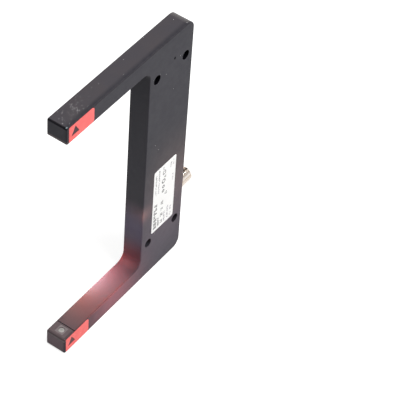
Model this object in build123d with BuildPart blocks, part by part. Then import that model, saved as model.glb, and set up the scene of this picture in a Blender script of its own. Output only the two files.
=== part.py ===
from build123d import *
import os

# Fork sensor: a light barrier in a C-shaped cast housing, with a 120 mm opening.
# Millimetres. The arms point to -X, the broad label face looks to -Y, +Z is up.
# The origin is the centre of the four mounting holes, at the middle of the thickness.

# Fork
opening = 120.0
fork_depth = 55.0
arm_height = 9.0
spine_width = 30.0
thickness = 10.0
spine_corner_radius = 4.5
slot_corner_radius = 4.5
tip_corner_radius = 1.0
front_edge_radius = 0.5
rear_edge_chamfer = 0.3

# Mounting holes
hole_diameter = 4.5
hole_edge_distance = 5.0
lower_hole_rise = 12.0
upper_hole_drop = 8.0
hole_boss_radius = 3.6

# Walls of the casting, and the cover let into its far side
side_wall = 1.6
front_wall = 1.4
rim_width = 0.7
cover_thickness = 0.8
cover_clearance = 0.1
seal_thickness = 0.2
seal_clearance = 0.1
rib_width = 1.0
rib_height = 1.2
arm_rib_count = 4
arm_rib_spacing = 9.0
spine_rib_count = 7
spine_rib_spacing = 12.0

# Window inserts at the arm tips
optical_inset = 4.2
window_length = 7.4
window_thickness = 1.6
window_groove = 0.5
window_tip_radius = 0.8
window_pocket_length = 4.6
window_pocket_width = 4.4
window_pocket_depth = 0.25
window_rail_depth = 0.7
window_rail_width = 0.4
window_rail_clearance = 0.1
lens_diameter = 2.7
lens_clearance = 0.03
lens_sink = 0.1
lens_dome = 0.25
lens_flange_diameter = 3.8
lens_flange_thickness = 0.5

# Light source and photodiode, each in a tube on a small board
holder_diameter = 5.0
holder_height = 2.9
holder_foot_width = 6.0
holder_foot_thickness = 0.6
holder_clearance = 0.05
holder_bore_diameter = 3.0
emitter_base_diameter = 2.8
emitter_base_thickness = 0.5
emitter_lens_diameter = 2.2
emitter_lens_chamfer = 0.5
emitter_height = 2.0
receiver_size = 2.0
receiver_height = 1.1
receiver_window_diameter = 1.4
receiver_window_depth = 0.2
arm_board_thickness = 0.8
arm_board_edge_gap = 0.6
arm_board_tail = 6.6
arm_board_clearance = 0.2
arm_board_pad_length = 1.4

# Ribbon cables from the arms to the main board
ribbon_thickness = 0.2
ribbon_width = 2.6
ribbon_above_board = 1.5
ribbon_bend_radius = 4.0
ribbon_lap = 1.6
ribbon_insertion = 1.0
socket_length = 4.6
socket_height = 3.2
socket_rise = 3.4
socket_clearance = 0.05
socket_edge_margin = 0.5
socket_chamfer = 0.3

# Main board
board_thickness = 1.0
board_standoff = 1.7
board_clearance = 1.0
tongue_clearance = 1.4
tongue_length = 11.0
board_corner_chamfer = 0.8
post_radius = 2.2
post_inset = 4.4
post_end_distance = 7.4
screw_diameter = 1.6
screw_clearance = 0.02
screw_hole_diameter = 1.8
screw_head_diameter = 3.0
screw_head_height = 1.0
screw_length = 3.4
screw_hole_spare = 0.3
screw_slot_width = 0.4
screw_slot_depth = 0.5

# Round plug behind the spine
plug_height = 36.3
plug_thread_diameter = 8.0
plug_length = 9.0
plug_thread_chamfer = 0.5
plug_socket_diameter = 5.9
plug_socket_depth = 6.0
plug_shank_diameter = 6.4
plug_shank_length = 4.6
plug_fit_clearance = 0.02
plug_boss_height = 9.6
seal_groove_depth = 0.5
seal_groove_width = 0.8
seal_groove_inset = 1.8
insulator_diameter = 4.2
insulator_collar = 1.0
insulator_tail = 1.2
pin_diameter = 1.0
pin_circle_diameter = 2.9
pin_reach = 4.0
pin_tip_chamfer = 0.3
pin_count = 3
pin_clearance = 0.02
terminal_board_gap = 0.7
terminal_board_thickness = 0.8
terminal_board_height = 6.6
terminal_board_edge_gap = 0.5

# Status light
light_above_plug = 16.0
light_above_board = 1.5
light_guide_diameter = 2.5
light_guide_clearance = 0.02
light_guide_flange_diameter = 3.4
light_guide_flange = 0.8
light_guide_inside = 2.0
light_guide_proud = 0.2
status_light_size = 1.8
status_light_depth = 1.2
status_light_gap = 0.2

# Components on the main board: places from its nearer edge, and from a post or its middle
signal_chip_edge = 10.4
signal_chip_rise = 8.0
signal_chip_size = 6.0
signal_chip_height = 1.1
signal_chip_lead_pitch = 0.8
signal_chip_leads_per_side = 6
lead_width = 0.3
lead_length = 0.9
lead_thickness = 0.2
regulator_edge = 7.4
regulator_rise = 16.0
regulator_length = 6.5
regulator_width = 3.5
regulator_height = 1.6
regulator_lead_pitch = 2.3
regulator_lead_width = 0.7
regulator_tab_width = 3.0
regulator_lead_count = 3
transistor_edge = 8.4
transistor_drop = 14.0
transistor_length = 2.9
transistor_width = 1.3
transistor_height = 1.0
transistor_spacing = 5.0
transistor_count = 2
capacitor_edge = 7.9
capacitor_drop = 13.0
capacitor_diameter = 5.0
capacitor_headroom = 0.8
capacitor_top_chamfer = 0.3
capacitor_base_size = 5.4
capacitor_base_height = 0.6
capacitor_base_chamfer = 1.0
diode_edge = 8.4
diode_rise = 6.0
diode_length = 4.3
diode_width = 2.6
diode_height = 2.0
diode_tab_length = 0.5
choke_edge = 7.9
choke_size = 4.5
choke_height = 2.0
choke_core_diameter = 3.4
choke_core_depth = 0.3
resistor_gap = 1.7
resistor_rise = 6.0
resistor_length = 1.6
resistor_width = 0.8
resistor_height = 0.45
resistor_spacing_x = 3.2
resistor_spacing_z = 2.0
resistor_columns = 2
resistor_rows = 6
chip_capacitor_edge = 4.9
chip_capacitor_drop = 7.0
chip_capacitor_length = 2.0
chip_capacitor_width = 1.25
chip_capacitor_height = 0.9
chip_capacitor_spacing_x = 3.6
chip_capacitor_spacing_z = 2.6
chip_capacitor_columns = 2
chip_capacitor_rows = 3

# Label and stickers
foil_thickness = 0.1
label_width = 16.0
label_height = 39.0
label_above_base = 25.0
label_corner_radius = 1.0
sticker_length = 16.0
sticker_margin = 0.5
lower_sticker_inset = 1.0
upper_sticker_inset = 1.4
sticker_corner_radius = 1.4
sticker_tip_corner_radius = 0.4
arrow_width = 5.2
arrow_height = 4.4
arrow_inset = 4.0
arrow_foot_height = 2.9

# Places that follow from the sizes above
front_y = -thickness / 2
rear_y = thickness / 2
cavity_front_y = front_y + front_wall
cover_y = rear_y - cover_thickness
ledge_y = cover_y - seal_thickness
spine_inner_x = -spine_width / 2
spine_back_x = spine_width / 2
tip_x = spine_inner_x - fork_depth
hole_spacing_x = spine_width - 2 * hole_edge_distance
hole_spacing_z = opening - lower_hole_rise - upper_hole_drop
base_z = -hole_spacing_z / 2 - lower_hole_rise - arm_height
lower_face_z = base_z + arm_height
upper_face_z = lower_face_z + opening
top_z = upper_face_z + arm_height
middle_z = (base_z + top_z) / 2
optical_x = tip_x + optical_inset
hole_radius = hole_diameter / 2
plug_z = base_z + plug_height
light_z = plug_z + light_above_plug
gap_middle_z = (lower_face_z + upper_face_z) / 2
cavity_middle_y = (cavity_front_y + ledge_y) / 2
board_y = cavity_front_y + board_standoff
board_top_y = board_y + board_thickness
board_width = spine_width - 2 * side_wall - 2 * board_clearance
board_half_width = board_width / 2
board_half_height = hole_spacing_z / 2 - hole_boss_radius - board_clearance
tongue_width = hole_spacing_x - 2 * hole_boss_radius - 2 * tongue_clearance
post_x = board_half_width - post_inset
post_z = board_half_height - post_end_distance
ribbon_y = board_top_y + ribbon_above_board
light_y = board_top_y + light_above_board
cavity_depth = ledge_y - cavity_front_y
arm_board_top = window_thickness + holder_height
board_half_length = board_half_height + tongue_length
socket_foot_z = socket_edge_margin - board_half_length
plug_inner_x = spine_back_x - plug_shank_length
plug_end_x = spine_back_x + plug_length
plug_socket_x = plug_end_x - plug_socket_depth
insulator_end_x = plug_inner_x - insulator_tail
terminal_x = insulator_end_x - terminal_board_gap - terminal_board_thickness
plug_notch_depth = board_half_width - terminal_x
plug_notch_x = board_half_width - plug_notch_depth / 2
plug_notch_height = plug_boss_height + 2 * board_clearance
capacitor_height = cover_y - board_top_y - capacitor_headroom

# The gap side of the lower arm, at the light's path: the local Z axis points into the gap
gap_plane = Plane(origin=(optical_x, 0, lower_face_z), x_dir=(1, 0, 0), z_dir=(0, 0, 1))
gap_section = Plane(origin=gap_plane.origin, x_dir=(1, 0, 0), z_dir=(0, -1, 0))
gap_axis = Axis(gap_plane.origin, gap_plane.z_dir)
gap_middle = Plane.XY.offset(gap_middle_z)

# The plug and the light guide lie along X, behind the spine
plug_plane = Plane(origin=(0, 0, plug_z), x_dir=(0, 1, 0), z_dir=(1, 0, 0))
plug_section = Plane(origin=plug_plane.origin, x_dir=(1, 0, 0), z_dir=(0, -1, 0))
plug_axis = Axis(plug_plane.origin, plug_plane.z_dir)
light_plane = Plane(origin=(0, light_y, light_z), x_dir=(0, 1, 0), z_dir=(1, 0, 0))

os.makedirs("parts", exist_ok=True)


def depth_plane(y):
    """The plane of the broad face moved to the depth y: local x is X, local y is Z."""
    return Plane.XZ.offset(-y)


def board_seat(x, z):
    """A plane on the component side of the main board: local x is X, local z points off the board."""
    return Plane(origin=(x, board_top_y, z), x_dir=(1, 0, 0), z_dir=(0, 1, 0))


def fork_face(inset):
    """The C outline of the fork, drawn in by inset all round."""
    corners = (
        (tip_x + inset, base_z + inset),
        (spine_back_x - inset, base_z + inset),
        (spine_back_x - inset, top_z - inset),
        (tip_x + inset, top_z - inset),
        (tip_x + inset, upper_face_z + inset),
        (spine_inner_x + inset, upper_face_z + inset),
        (spine_inner_x + inset, lower_face_z - inset),
        (tip_x + inset, lower_face_z - inset),
    )
    with BuildSketch() as outline:
        with BuildLine():
            Polyline(*corners, close=True)
        make_face()
        back_corners = outline.vertices().group_by(Axis.X)[-1]
        fillet(back_corners, radius=spine_corner_radius - inset)
        slot_corners = outline.vertices().sort_by_distance((spine_inner_x + inset, gap_middle_z))[:2]
        fillet(slot_corners, radius=slot_corner_radius + inset)
        if inset < tip_corner_radius:
            tip_corners = outline.vertices().group_by(Axis.X)[0].sort_by(Axis.Y)
            fillet((tip_corners[0], tip_corners[-1]), radius=tip_corner_radius - inset)
    return outline.sketch


def window_notch(margin):
    """The places of both window inserts in the side view, grown by margin."""
    length = window_length + margin
    height = window_thickness + margin
    with BuildSketch() as notch:
        with Locations((tip_x + length / 2, lower_face_z - height / 2)):
            Rectangle(length, height)
        with Locations((tip_x + length / 2, upper_face_z + height / 2)):
            Rectangle(length, height)
    return notch.sketch


def hole_grid(radius):
    """Four circles on the mounting pattern."""
    with BuildSketch() as grid:
        with GridLocations(hole_spacing_x, hole_spacing_z, 2, 2):
            Circle(radius)
    return grid.sketch


def post_circles(radius):
    """Circles at the two posts that carry the main board, at opposite corners of it."""
    with BuildSketch() as circles:
        with Locations((post_x, post_z), (-post_x, -post_z)):
            Circle(radius)
    return circles.sketch


def pin_circles(radius):
    """Circles at the contact pins, round the plug's axis."""
    with BuildSketch() as circles:
        with PolarLocations(pin_circle_diameter / 2, pin_count):
            Circle(radius)
    return circles.sketch


def write_pair(lower_piece, lower_name, upper_name):
    """Writes a piece of the lower arm, and its mirror image as the piece of the upper arm."""
    with BuildPart() as upper_piece:
        mirror(lower_piece, about=gap_middle)
    lower_piece.label = lower_name
    upper_piece.part.label = upper_name
    export_step(lower_piece, f"parts/{lower_name}.step")
    export_step(upper_piece.part, f"parts/{upper_name}.step")


# Housing: one casting, open to the far side, with bosses, posts, ribs, pads and a bush
with BuildPart() as housing:
    with BuildSketch(depth_plane(rear_y)):
        add(fork_face(0))
    extrude(amount=thickness)
    front_edges = housing.faces().sort_by(Axis.Y)[0].edges()
    fillet(front_edges, radius=front_edge_radius)
    rear_edges = housing.faces().sort_by(Axis.Y)[-1].edges()
    chamfer(rear_edges, length=rear_edge_chamfer)

    with BuildSketch(depth_plane(rear_y)):
        add(fork_face(side_wall))
    extrude(amount=rear_y - cavity_front_y, mode=Mode.SUBTRACT)
    with BuildSketch(depth_plane(rear_y)):
        add(fork_face(rim_width))
    extrude(amount=rear_y - ledge_y, mode=Mode.SUBTRACT)

    # Bosses of the mounting holes, up to the cover
    with BuildSketch(depth_plane(cover_y)):
        add(hole_grid(hole_boss_radius))
    extrude(amount=cover_y - cavity_front_y)

    # Posts of the main board
    with BuildSketch(depth_plane(board_y)):
        add(post_circles(post_radius))
    extrude(amount=board_standoff)

    # Low ribs across the arms and the spine
    arm_middle_x = (optical_x + spine_inner_x) / 2
    with BuildSketch(depth_plane(cavity_front_y + rib_height)):
        for arm_z in (base_z + arm_height / 2, top_z - arm_height / 2):
            with Locations((arm_middle_x, arm_z)):
                with GridLocations(arm_rib_spacing, 1, arm_rib_count, 1):
                    Rectangle(rib_width, arm_height - side_wall)
        with Locations((0, middle_z)):
            with GridLocations(1, spine_rib_spacing, 1, spine_rib_count):
                Rectangle(spine_width - side_wall, rib_width)
        with Locations((plug_notch_x, plug_z)):
            Rectangle(plug_notch_depth, plug_notch_height, mode=Mode.SUBTRACT)
    extrude(amount=rib_height)

    # Pads under the small boards in the arms
    pad_height = arm_height - side_wall - arm_board_top - arm_board_thickness
    pad_start = side_wall - optical_inset + arm_board_pad_length / 2
    pad_end = arm_board_tail - arm_board_pad_length
    pad_places = [(x, cavity_middle_y) for x in (pad_start, pad_end)]
    with BuildSketch(gap_plane.offset(side_wall - arm_height)):
        with Locations(pad_places):
            Rectangle(arm_board_pad_length, cavity_depth)
    lower_pads = extrude(amount=pad_height)
    mirror(lower_pads, about=gap_middle)

    # Bush round the plug's shank, inside the back wall
    bush_length = plug_shank_length - side_wall / 2
    with BuildSketch(depth_plane(ledge_y)):
        with Locations((plug_inner_x + bush_length / 2, plug_z)):
            Rectangle(bush_length, plug_boss_height)
    extrude(amount=cavity_depth)
    with BuildSketch(plug_plane.offset(plug_inner_x)):
        Circle(plug_shank_diameter / 2 + plug_fit_clearance)
    extrude(amount=plug_shank_length, mode=Mode.SUBTRACT)

    # Hole of the light guide
    with BuildSketch(light_plane.offset(spine_back_x)):
        Circle(light_guide_diameter / 2 + light_guide_clearance)
    extrude(amount=-side_wall, mode=Mode.SUBTRACT)

    # Rebates of the window inserts
    with BuildSketch(depth_plane(rear_y)):
        add(window_notch(0))
    extrude(amount=thickness, mode=Mode.SUBTRACT)

    # Mounting holes right through, and pilot holes in the posts
    with BuildSketch(depth_plane(rear_y)):
        add(hole_grid(hole_radius))
    extrude(amount=thickness, mode=Mode.SUBTRACT)
    pilot_depth = screw_length - board_thickness + screw_hole_spare
    with BuildSketch(depth_plane(board_y)):
        add(post_circles(screw_diameter / 2 + screw_clearance))
    extrude(amount=pilot_depth, mode=Mode.SUBTRACT)

housing.part.label = "housing"
export_step(housing.part, "parts/housing.step")

# Cover plate, let into the rim on the far side
with BuildPart() as cover:
    with BuildSketch(depth_plane(rear_y)):
        add(fork_face(rim_width + cover_clearance))
        add(window_notch(cover_clearance), mode=Mode.SUBTRACT)
        add(hole_grid(hole_radius), mode=Mode.SUBTRACT)
    extrude(amount=cover_thickness)

cover.part.label = "cover"
export_step(cover.part, "parts/cover.step")

# Flat seal between the ledge and the cover
with BuildPart() as cover_seal:
    with BuildSketch(depth_plane(cover_y)):
        add(fork_face(rim_width + seal_clearance))
        add(window_notch(seal_clearance), mode=Mode.SUBTRACT)
        with BuildSketch(mode=Mode.SUBTRACT) as seal_opening:
            add(fork_face(side_wall))
            add(window_notch(seal_clearance + side_wall - rim_width), mode=Mode.SUBTRACT)
        add(hole_grid(hole_boss_radius + seal_clearance), mode=Mode.SUBTRACT)
    extrude(amount=seal_thickness)

cover_seal.part.label = "cover_seal"
export_step(cover_seal.part, "parts/cover_seal.step")

# Window insert: closes the arm's tip, with a groove at its end and a square pocket round the lens
with BuildPart() as window:
    with BuildSketch(gap_plane):
        with Locations((window_length / 2 - optical_inset, 0)):
            Rectangle(window_length, thickness)
    extrude(amount=-window_thickness)
    gap_side = window.faces().sort_by(Axis.Z)[-1]
    fillet(gap_side.edges().filter_by(Axis.Y).sort_by(Axis.X)[0], radius=window_tip_radius)
    long_edges = window.faces().sort_by(Axis.Z)[-1].edges().filter_by(Axis.X).sort_by(Axis.Y)
    fillet(long_edges[0], radius=front_edge_radius)
    long_edges = window.faces().sort_by(Axis.Z)[-1].edges().filter_by(Axis.X).sort_by(Axis.Y)
    chamfer(long_edges[-1], length=rear_edge_chamfer)
    with BuildSketch(gap_plane):
        with Locations((window_length - optical_inset - window_groove / 2, 0)):
            Rectangle(window_groove, thickness)
    extrude(amount=-window_groove, mode=Mode.SUBTRACT)
    with BuildSketch(gap_plane):
        Rectangle(window_pocket_length, window_pocket_width)
    extrude(amount=-window_pocket_depth, mode=Mode.SUBTRACT)
    rail_start = side_wall - optical_inset + window_rail_clearance
    rail_end = window_length - optical_inset - window_rail_clearance
    rail_offset = (cavity_depth - window_rail_width) / 2 - window_rail_clearance
    rail_places = [((rail_start + rail_end) / 2, cavity_middle_y + side * rail_offset) for side in (-1, 1)]
    with BuildSketch(gap_plane.offset(-window_thickness)):
        with Locations(rail_places):
            Rectangle(rail_end - rail_start, window_rail_width)
    extrude(amount=-window_rail_depth)
    with BuildSketch(gap_plane):
        Circle(lens_diameter / 2 + lens_clearance)
    extrude(amount=-window_thickness, mode=Mode.SUBTRACT)

write_pair(window.part, "lower_window", "upper_window")

# Lens: a domed disc with a flange that the holder clamps against the insert
lens_radius = lens_diameter / 2
lens_flange_radius = lens_flange_diameter / 2
lens_foot = -window_thickness - lens_flange_thickness
lens_shoulder = -lens_sink - lens_dome
lens_dome_radius = (lens_radius**2 + lens_dome**2) / (2 * lens_dome)
with BuildPart() as lens:
    with BuildSketch(gap_section):
        with BuildLine():
            Polyline(
                (0, -lens_sink),
                (0, lens_foot),
                (lens_flange_radius, lens_foot),
                (lens_flange_radius, -window_thickness),
                (lens_radius, -window_thickness),
                (lens_radius, lens_shoulder),
            )
            RadiusArc((lens_radius, lens_shoulder), (0, -lens_sink), -lens_dome_radius)
        make_face()
    revolve(axis=gap_axis)

write_pair(lens.part, "lower_lens", "upper_lens")

# Holder: a tube that centres the lens over the chip, with a foot on the small board
with BuildPart() as holder:
    with BuildSketch(gap_plane.offset(-window_thickness)):
        Circle(holder_diameter / 2)
    extrude(amount=-holder_height)
    with BuildSketch(gap_plane.offset(-arm_board_top)):
        Rectangle(holder_diameter, holder_foot_width)
    extrude(amount=holder_foot_thickness)
    with BuildSketch(gap_plane.offset(-window_thickness)):
        Circle(holder_bore_diameter / 2)
    extrude(amount=-holder_height, mode=Mode.SUBTRACT)
    with BuildSketch(gap_plane.offset(-window_thickness)):
        Circle(lens_flange_radius + holder_clearance)
    extrude(amount=-lens_flange_thickness, mode=Mode.SUBTRACT)

write_pair(holder.part, "receiver_holder", "emitter_holder")

# Receiver in the lower arm: a flat square package with a round window
with BuildPart() as receiver:
    with BuildSketch(gap_plane.offset(-arm_board_top)):
        Rectangle(receiver_size, receiver_size)
    extrude(amount=receiver_height)
    with BuildSketch(gap_plane.offset(receiver_height - arm_board_top)):
        Circle(receiver_window_diameter / 2)
    extrude(amount=-receiver_window_depth, mode=Mode.SUBTRACT)

receiver.part.label = "receiver"
export_step(receiver.part, "parts/receiver.step")

# Emitter in the upper arm: a round chip with a bevelled lens, modelled in the lower arm and mirrored up
with BuildPart() as lower_emitter:
    with BuildSketch(gap_plane.offset(-arm_board_top)):
        Circle(emitter_base_diameter / 2)
    extrude(amount=emitter_base_thickness)
    with BuildSketch(gap_plane.offset(-arm_board_top)):
        Circle(emitter_lens_diameter / 2)
    extrude(amount=emitter_height)
    chamfer(lower_emitter.faces().sort_by(Axis.Z)[-1].edges(), length=emitter_lens_chamfer)

with BuildPart() as emitter:
    mirror(lower_emitter.part, about=gap_middle)

emitter.part.label = "emitter"
export_step(emitter.part, "parts/emitter.step")

# Small board under the receiver, and its twin under the emitter
arm_board_start = side_wall - optical_inset + arm_board_clearance
with BuildPart() as arm_board:
    with BuildSketch(gap_plane.offset(-arm_board_top)):
        with Locations(((arm_board_start + arm_board_tail) / 2, cavity_middle_y)):
            Rectangle(arm_board_tail - arm_board_start, cavity_depth - 2 * arm_board_edge_gap)
    extrude(amount=-arm_board_thickness)

write_pair(arm_board.part, "receiver_board", "emitter_board")

# Ribbon cable: flat on the small board, along the arm, then up into its socket
ribbon_start_x = optical_x + arm_board_tail - ribbon_lap
ribbon_z = lower_face_z - arm_board_top + ribbon_thickness / 2
ribbon_section = Plane(origin=(ribbon_start_x, ribbon_y, ribbon_z), x_dir=(0, 1, 0), z_dir=(1, 0, 0))
with BuildPart() as ribbon:
    with BuildLine(depth_plane(ribbon_y)):
        FilletPolyline(
            (ribbon_start_x, ribbon_z),
            (0, ribbon_z),
            (0, socket_foot_z + ribbon_insertion),
            radius=ribbon_bend_radius,
        )
    with BuildSketch(ribbon_section):
        Rectangle(ribbon_width, ribbon_thickness)
    sweep()

write_pair(ribbon.part, "lower_ribbon", "upper_ribbon")

# Ribbon socket on the main board, with a slot in its foot
with BuildPart() as socket:
    with BuildSketch(Plane.XY.offset(socket_foot_z)):
        with Locations((0, board_top_y + socket_height / 2)):
            Rectangle(socket_length, socket_height)
    extrude(amount=socket_rise)
    chamfer(socket.faces().sort_by(Axis.Y)[-1].edges(), length=socket_chamfer)
    with BuildSketch(Plane.XY.offset(socket_foot_z)):
        with Locations((0, ribbon_y)):
            Rectangle(ribbon_thickness + 2 * socket_clearance, ribbon_width + 2 * socket_clearance)
    extrude(amount=ribbon_insertion, mode=Mode.SUBTRACT)

write_pair(socket.part, "lower_socket", "upper_socket")

# Main board: a broad middle, a tongue between each pair of bosses, a notch at the plug
with BuildPart() as main_board:
    with BuildSketch(depth_plane(board_top_y)) as board_outline:
        Rectangle(board_width, 2 * board_half_height)
        Rectangle(tongue_width, 2 * board_half_length)
        chamfer(board_outline.vertices(), length=board_corner_chamfer)
        with Locations((plug_notch_x, plug_z)):
            Rectangle(plug_notch_depth, plug_notch_height, mode=Mode.SUBTRACT)
        add(post_circles(screw_hole_diameter / 2), mode=Mode.SUBTRACT)
    extrude(amount=board_thickness)

main_board.part.label = "main_board"
export_step(main_board.part, "parts/main_board.step")

# Two screws through the main board into its posts
with BuildPart() as board_screws:
    with BuildSketch(depth_plane(board_top_y)):
        add(post_circles(screw_head_diameter / 2))
    extrude(amount=-screw_head_height)
    with BuildSketch(depth_plane(board_top_y)):
        add(post_circles(screw_diameter / 2))
    extrude(amount=screw_length)
    with BuildSketch(depth_plane(board_top_y + screw_head_height)):
        with Locations(post_circles(screw_diameter / 2).faces()):
            Rectangle(screw_head_diameter, screw_slot_width)
    extrude(amount=screw_slot_depth, mode=Mode.SUBTRACT)

board_screws.part.label = "board_screws"
export_step(board_screws.part, "parts/board_screws.step")

# Signal chip: a flat package with a row of leads on each side
lead_row_length = lead_length + signal_chip_size
signal_chip_x = signal_chip_edge - board_half_width
signal_seat = board_seat(signal_chip_x, signal_chip_rise)
with BuildPart() as signal_chip:
    with BuildSketch(signal_seat.offset(lead_thickness)):
        Rectangle(signal_chip_size, signal_chip_size)
    extrude(amount=signal_chip_height)
    chamfer(signal_chip.faces().sort_by(Axis.Y)[-1].edges(), length=lead_thickness)
    with BuildSketch(signal_seat):
        with GridLocations(signal_chip_lead_pitch, lead_row_length, signal_chip_leads_per_side, 2):
            Rectangle(lead_width, lead_length)
        with GridLocations(lead_row_length, signal_chip_lead_pitch, 2, signal_chip_leads_per_side):
            Rectangle(lead_length, lead_width)
        Rectangle(signal_chip_size, signal_chip_size)
    extrude(amount=lead_thickness)

signal_chip.part.label = "signal_chip"
export_step(signal_chip.part, "parts/signal_chip.step")

# Voltage regulator: a block with a broad tab on one side and three leads on the other
regulator_seat = board_seat(regulator_edge - board_half_width, regulator_rise - post_z)
regulator_lead_row = (regulator_width + lead_length) / 2
with BuildPart() as voltage_regulator:
    with BuildSketch(regulator_seat):
        Rectangle(regulator_length, regulator_width)
    extrude(amount=regulator_height)
    chamfer(voltage_regulator.faces().sort_by(Axis.Y)[-1].edges(), length=lead_thickness)
    with BuildSketch(regulator_seat):
        with Locations((0, regulator_lead_row)):
            Rectangle(regulator_tab_width, lead_length)
        with Locations((0, -regulator_lead_row)):
            with GridLocations(regulator_lead_pitch, 1, regulator_lead_count, 1):
                Rectangle(regulator_lead_width, lead_length)
    extrude(amount=lead_thickness)

voltage_regulator.part.label = "voltage_regulator"
export_step(voltage_regulator.part, "parts/voltage_regulator.step")

# Output transistors, each with one lead on one side and two on the other
transistor_seat = board_seat(board_half_width - transistor_edge, -transistor_drop)
transistor_lead_row = (transistor_width + lead_length) / 2
with BuildPart() as output_transistors:
    with BuildSketch(transistor_seat):
        with GridLocations(1, transistor_spacing, 1, transistor_count):
            Rectangle(transistor_length, transistor_width)
    extrude(amount=transistor_height)
    with BuildSketch(transistor_seat):
        with GridLocations(1, transistor_spacing, 1, transistor_count):
            with Locations((0, transistor_lead_row)):
                Rectangle(lead_width, lead_length)
            with Locations((0, -transistor_lead_row)):
                with GridLocations(transistor_length - 3 * lead_width, 1, 2, 1):
                    Rectangle(lead_width, lead_length)
    extrude(amount=lead_thickness)

output_transistors.part.label = "output_transistors"
export_step(output_transistors.part, "parts/output_transistors.step")

# Storage capacitor: an upright can on a square base with two cut corners
capacitor_seat = board_seat(capacitor_edge - board_half_width, post_z - capacitor_drop)
with BuildPart() as storage_capacitor:
    with BuildSketch(capacitor_seat) as capacitor_base:
        Rectangle(capacitor_base_size, capacitor_base_size)
        chamfer(capacitor_base.vertices().group_by(Axis.X)[-1], length=capacitor_base_chamfer)
    extrude(amount=capacitor_base_height)
    with BuildSketch(capacitor_seat):
        Circle(capacitor_diameter / 2)
    extrude(amount=capacitor_height)
    chamfer(storage_capacitor.faces().sort_by(Axis.Y)[-1].edges(), length=capacitor_top_chamfer)

storage_capacitor.part.label = "storage_capacitor"
export_step(storage_capacitor.part, "parts/storage_capacitor.step")

# Surge diode: a block with a tab at each end
diode_seat = board_seat(diode_edge - board_half_width, diode_rise - post_z)
with BuildPart() as surge_diode:
    with BuildSketch(diode_seat):
        Rectangle(diode_length, diode_width)
    extrude(amount=diode_height)
    chamfer(surge_diode.faces().sort_by(Axis.Y)[-1].edges(), length=lead_thickness)
    with BuildSketch(diode_seat):
        Rectangle(diode_length + 2 * diode_tab_length, diode_width / 2)
    extrude(amount=lead_thickness)

surge_diode.part.label = "surge_diode"
export_step(surge_diode.part, "parts/surge_diode.step")

# Choke: a square shield with a round core let into its top
choke_seat = board_seat(board_half_width - choke_edge, post_z - capacitor_drop)
with BuildPart() as choke:
    with BuildSketch(choke_seat) as choke_outline:
        Rectangle(choke_size, choke_size)
        chamfer(choke_outline.vertices(), length=choke_core_depth)
    extrude(amount=choke_height)
    with BuildSketch(choke_seat.offset(choke_height)):
        Circle(choke_core_diameter / 2)
        Circle(choke_core_diameter / 2 - choke_core_depth, mode=Mode.SUBTRACT)
    extrude(amount=-choke_core_depth, mode=Mode.SUBTRACT)

choke.part.label = "choke"
export_step(choke.part, "parts/choke.step")

# Chip resistors beside the signal chip, and chip capacitors, in two small fields
resistor_field_length = resistor_length + resistor_spacing_x * (resistor_columns - 1)
resistor_offset = signal_chip_size / 2 + lead_length + resistor_gap + resistor_field_length / 2
with BuildPart() as chip_resistors:
    with BuildSketch(board_seat(signal_chip_x + resistor_offset, resistor_rise)):
        with GridLocations(resistor_spacing_x, resistor_spacing_z, resistor_columns, resistor_rows):
            Rectangle(resistor_length, resistor_width)
    extrude(amount=resistor_height)

chip_resistors.part.label = "chip_resistors"
export_step(chip_resistors.part, "parts/chip_resistors.step")

with BuildPart() as chip_capacitors:
    with BuildSketch(board_seat(chip_capacitor_edge - board_half_width, -chip_capacitor_drop)):
        with GridLocations(
            chip_capacitor_spacing_x,
            chip_capacitor_spacing_z,
            chip_capacitor_columns,
            chip_capacitor_rows,
        ):
            Rectangle(chip_capacitor_length, chip_capacitor_width)
    extrude(amount=chip_capacitor_height)

chip_capacitors.part.label = "chip_capacitors"
export_step(chip_capacitors.part, "parts/chip_capacitors.step")

# Plug: a turned sleeve, its shank pressed into the housing's bush
plug_bore_radius = insulator_diameter / 2 + plug_fit_clearance
plug_shank_radius = plug_shank_diameter / 2
seal_groove_radius = plug_shank_radius - seal_groove_depth
seal_groove_end_x = spine_back_x - seal_groove_inset
seal_groove_start_x = seal_groove_end_x - seal_groove_width
plug_thread_radius = plug_thread_diameter / 2
with BuildPart() as connector_sleeve:
    with BuildSketch(plug_section):
        with BuildLine():
            Polyline(
                (plug_inner_x, plug_bore_radius),
                (plug_inner_x, plug_shank_radius),
                (seal_groove_start_x, plug_shank_radius),
                (seal_groove_start_x, seal_groove_radius),
                (seal_groove_end_x, seal_groove_radius),
                (seal_groove_end_x, plug_shank_radius),
                (spine_back_x, plug_shank_radius),
                (spine_back_x, plug_thread_radius),
                (plug_end_x - plug_thread_chamfer, plug_thread_radius),
                (plug_end_x, plug_thread_radius - plug_thread_chamfer),
                (plug_end_x, plug_socket_diameter / 2),
                (plug_socket_x, plug_socket_diameter / 2),
                (plug_socket_x, plug_bore_radius),
                close=True,
            )
        make_face()
    revolve(axis=plug_axis)

connector_sleeve.part.label = "connector_sleeve"
export_step(connector_sleeve.part, "parts/connector_sleeve.step")

# Seal ring in the shank's groove, with a square section
seal_ring_outer = plug_shank_radius + plug_fit_clearance / 2
seal_ring_side = seal_ring_outer - seal_groove_radius
with BuildPart() as connector_seal:
    with BuildSketch(plug_section):
        with Locations(((seal_groove_start_x + seal_groove_end_x) / 2, seal_ring_outer - seal_ring_side / 2)):
            Rectangle(seal_groove_width - 2 * plug_fit_clearance, seal_ring_side)
    revolve(axis=plug_axis)

connector_seal.part.label = "connector_seal"
export_step(connector_seal.part, "parts/connector_seal.step")

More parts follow.
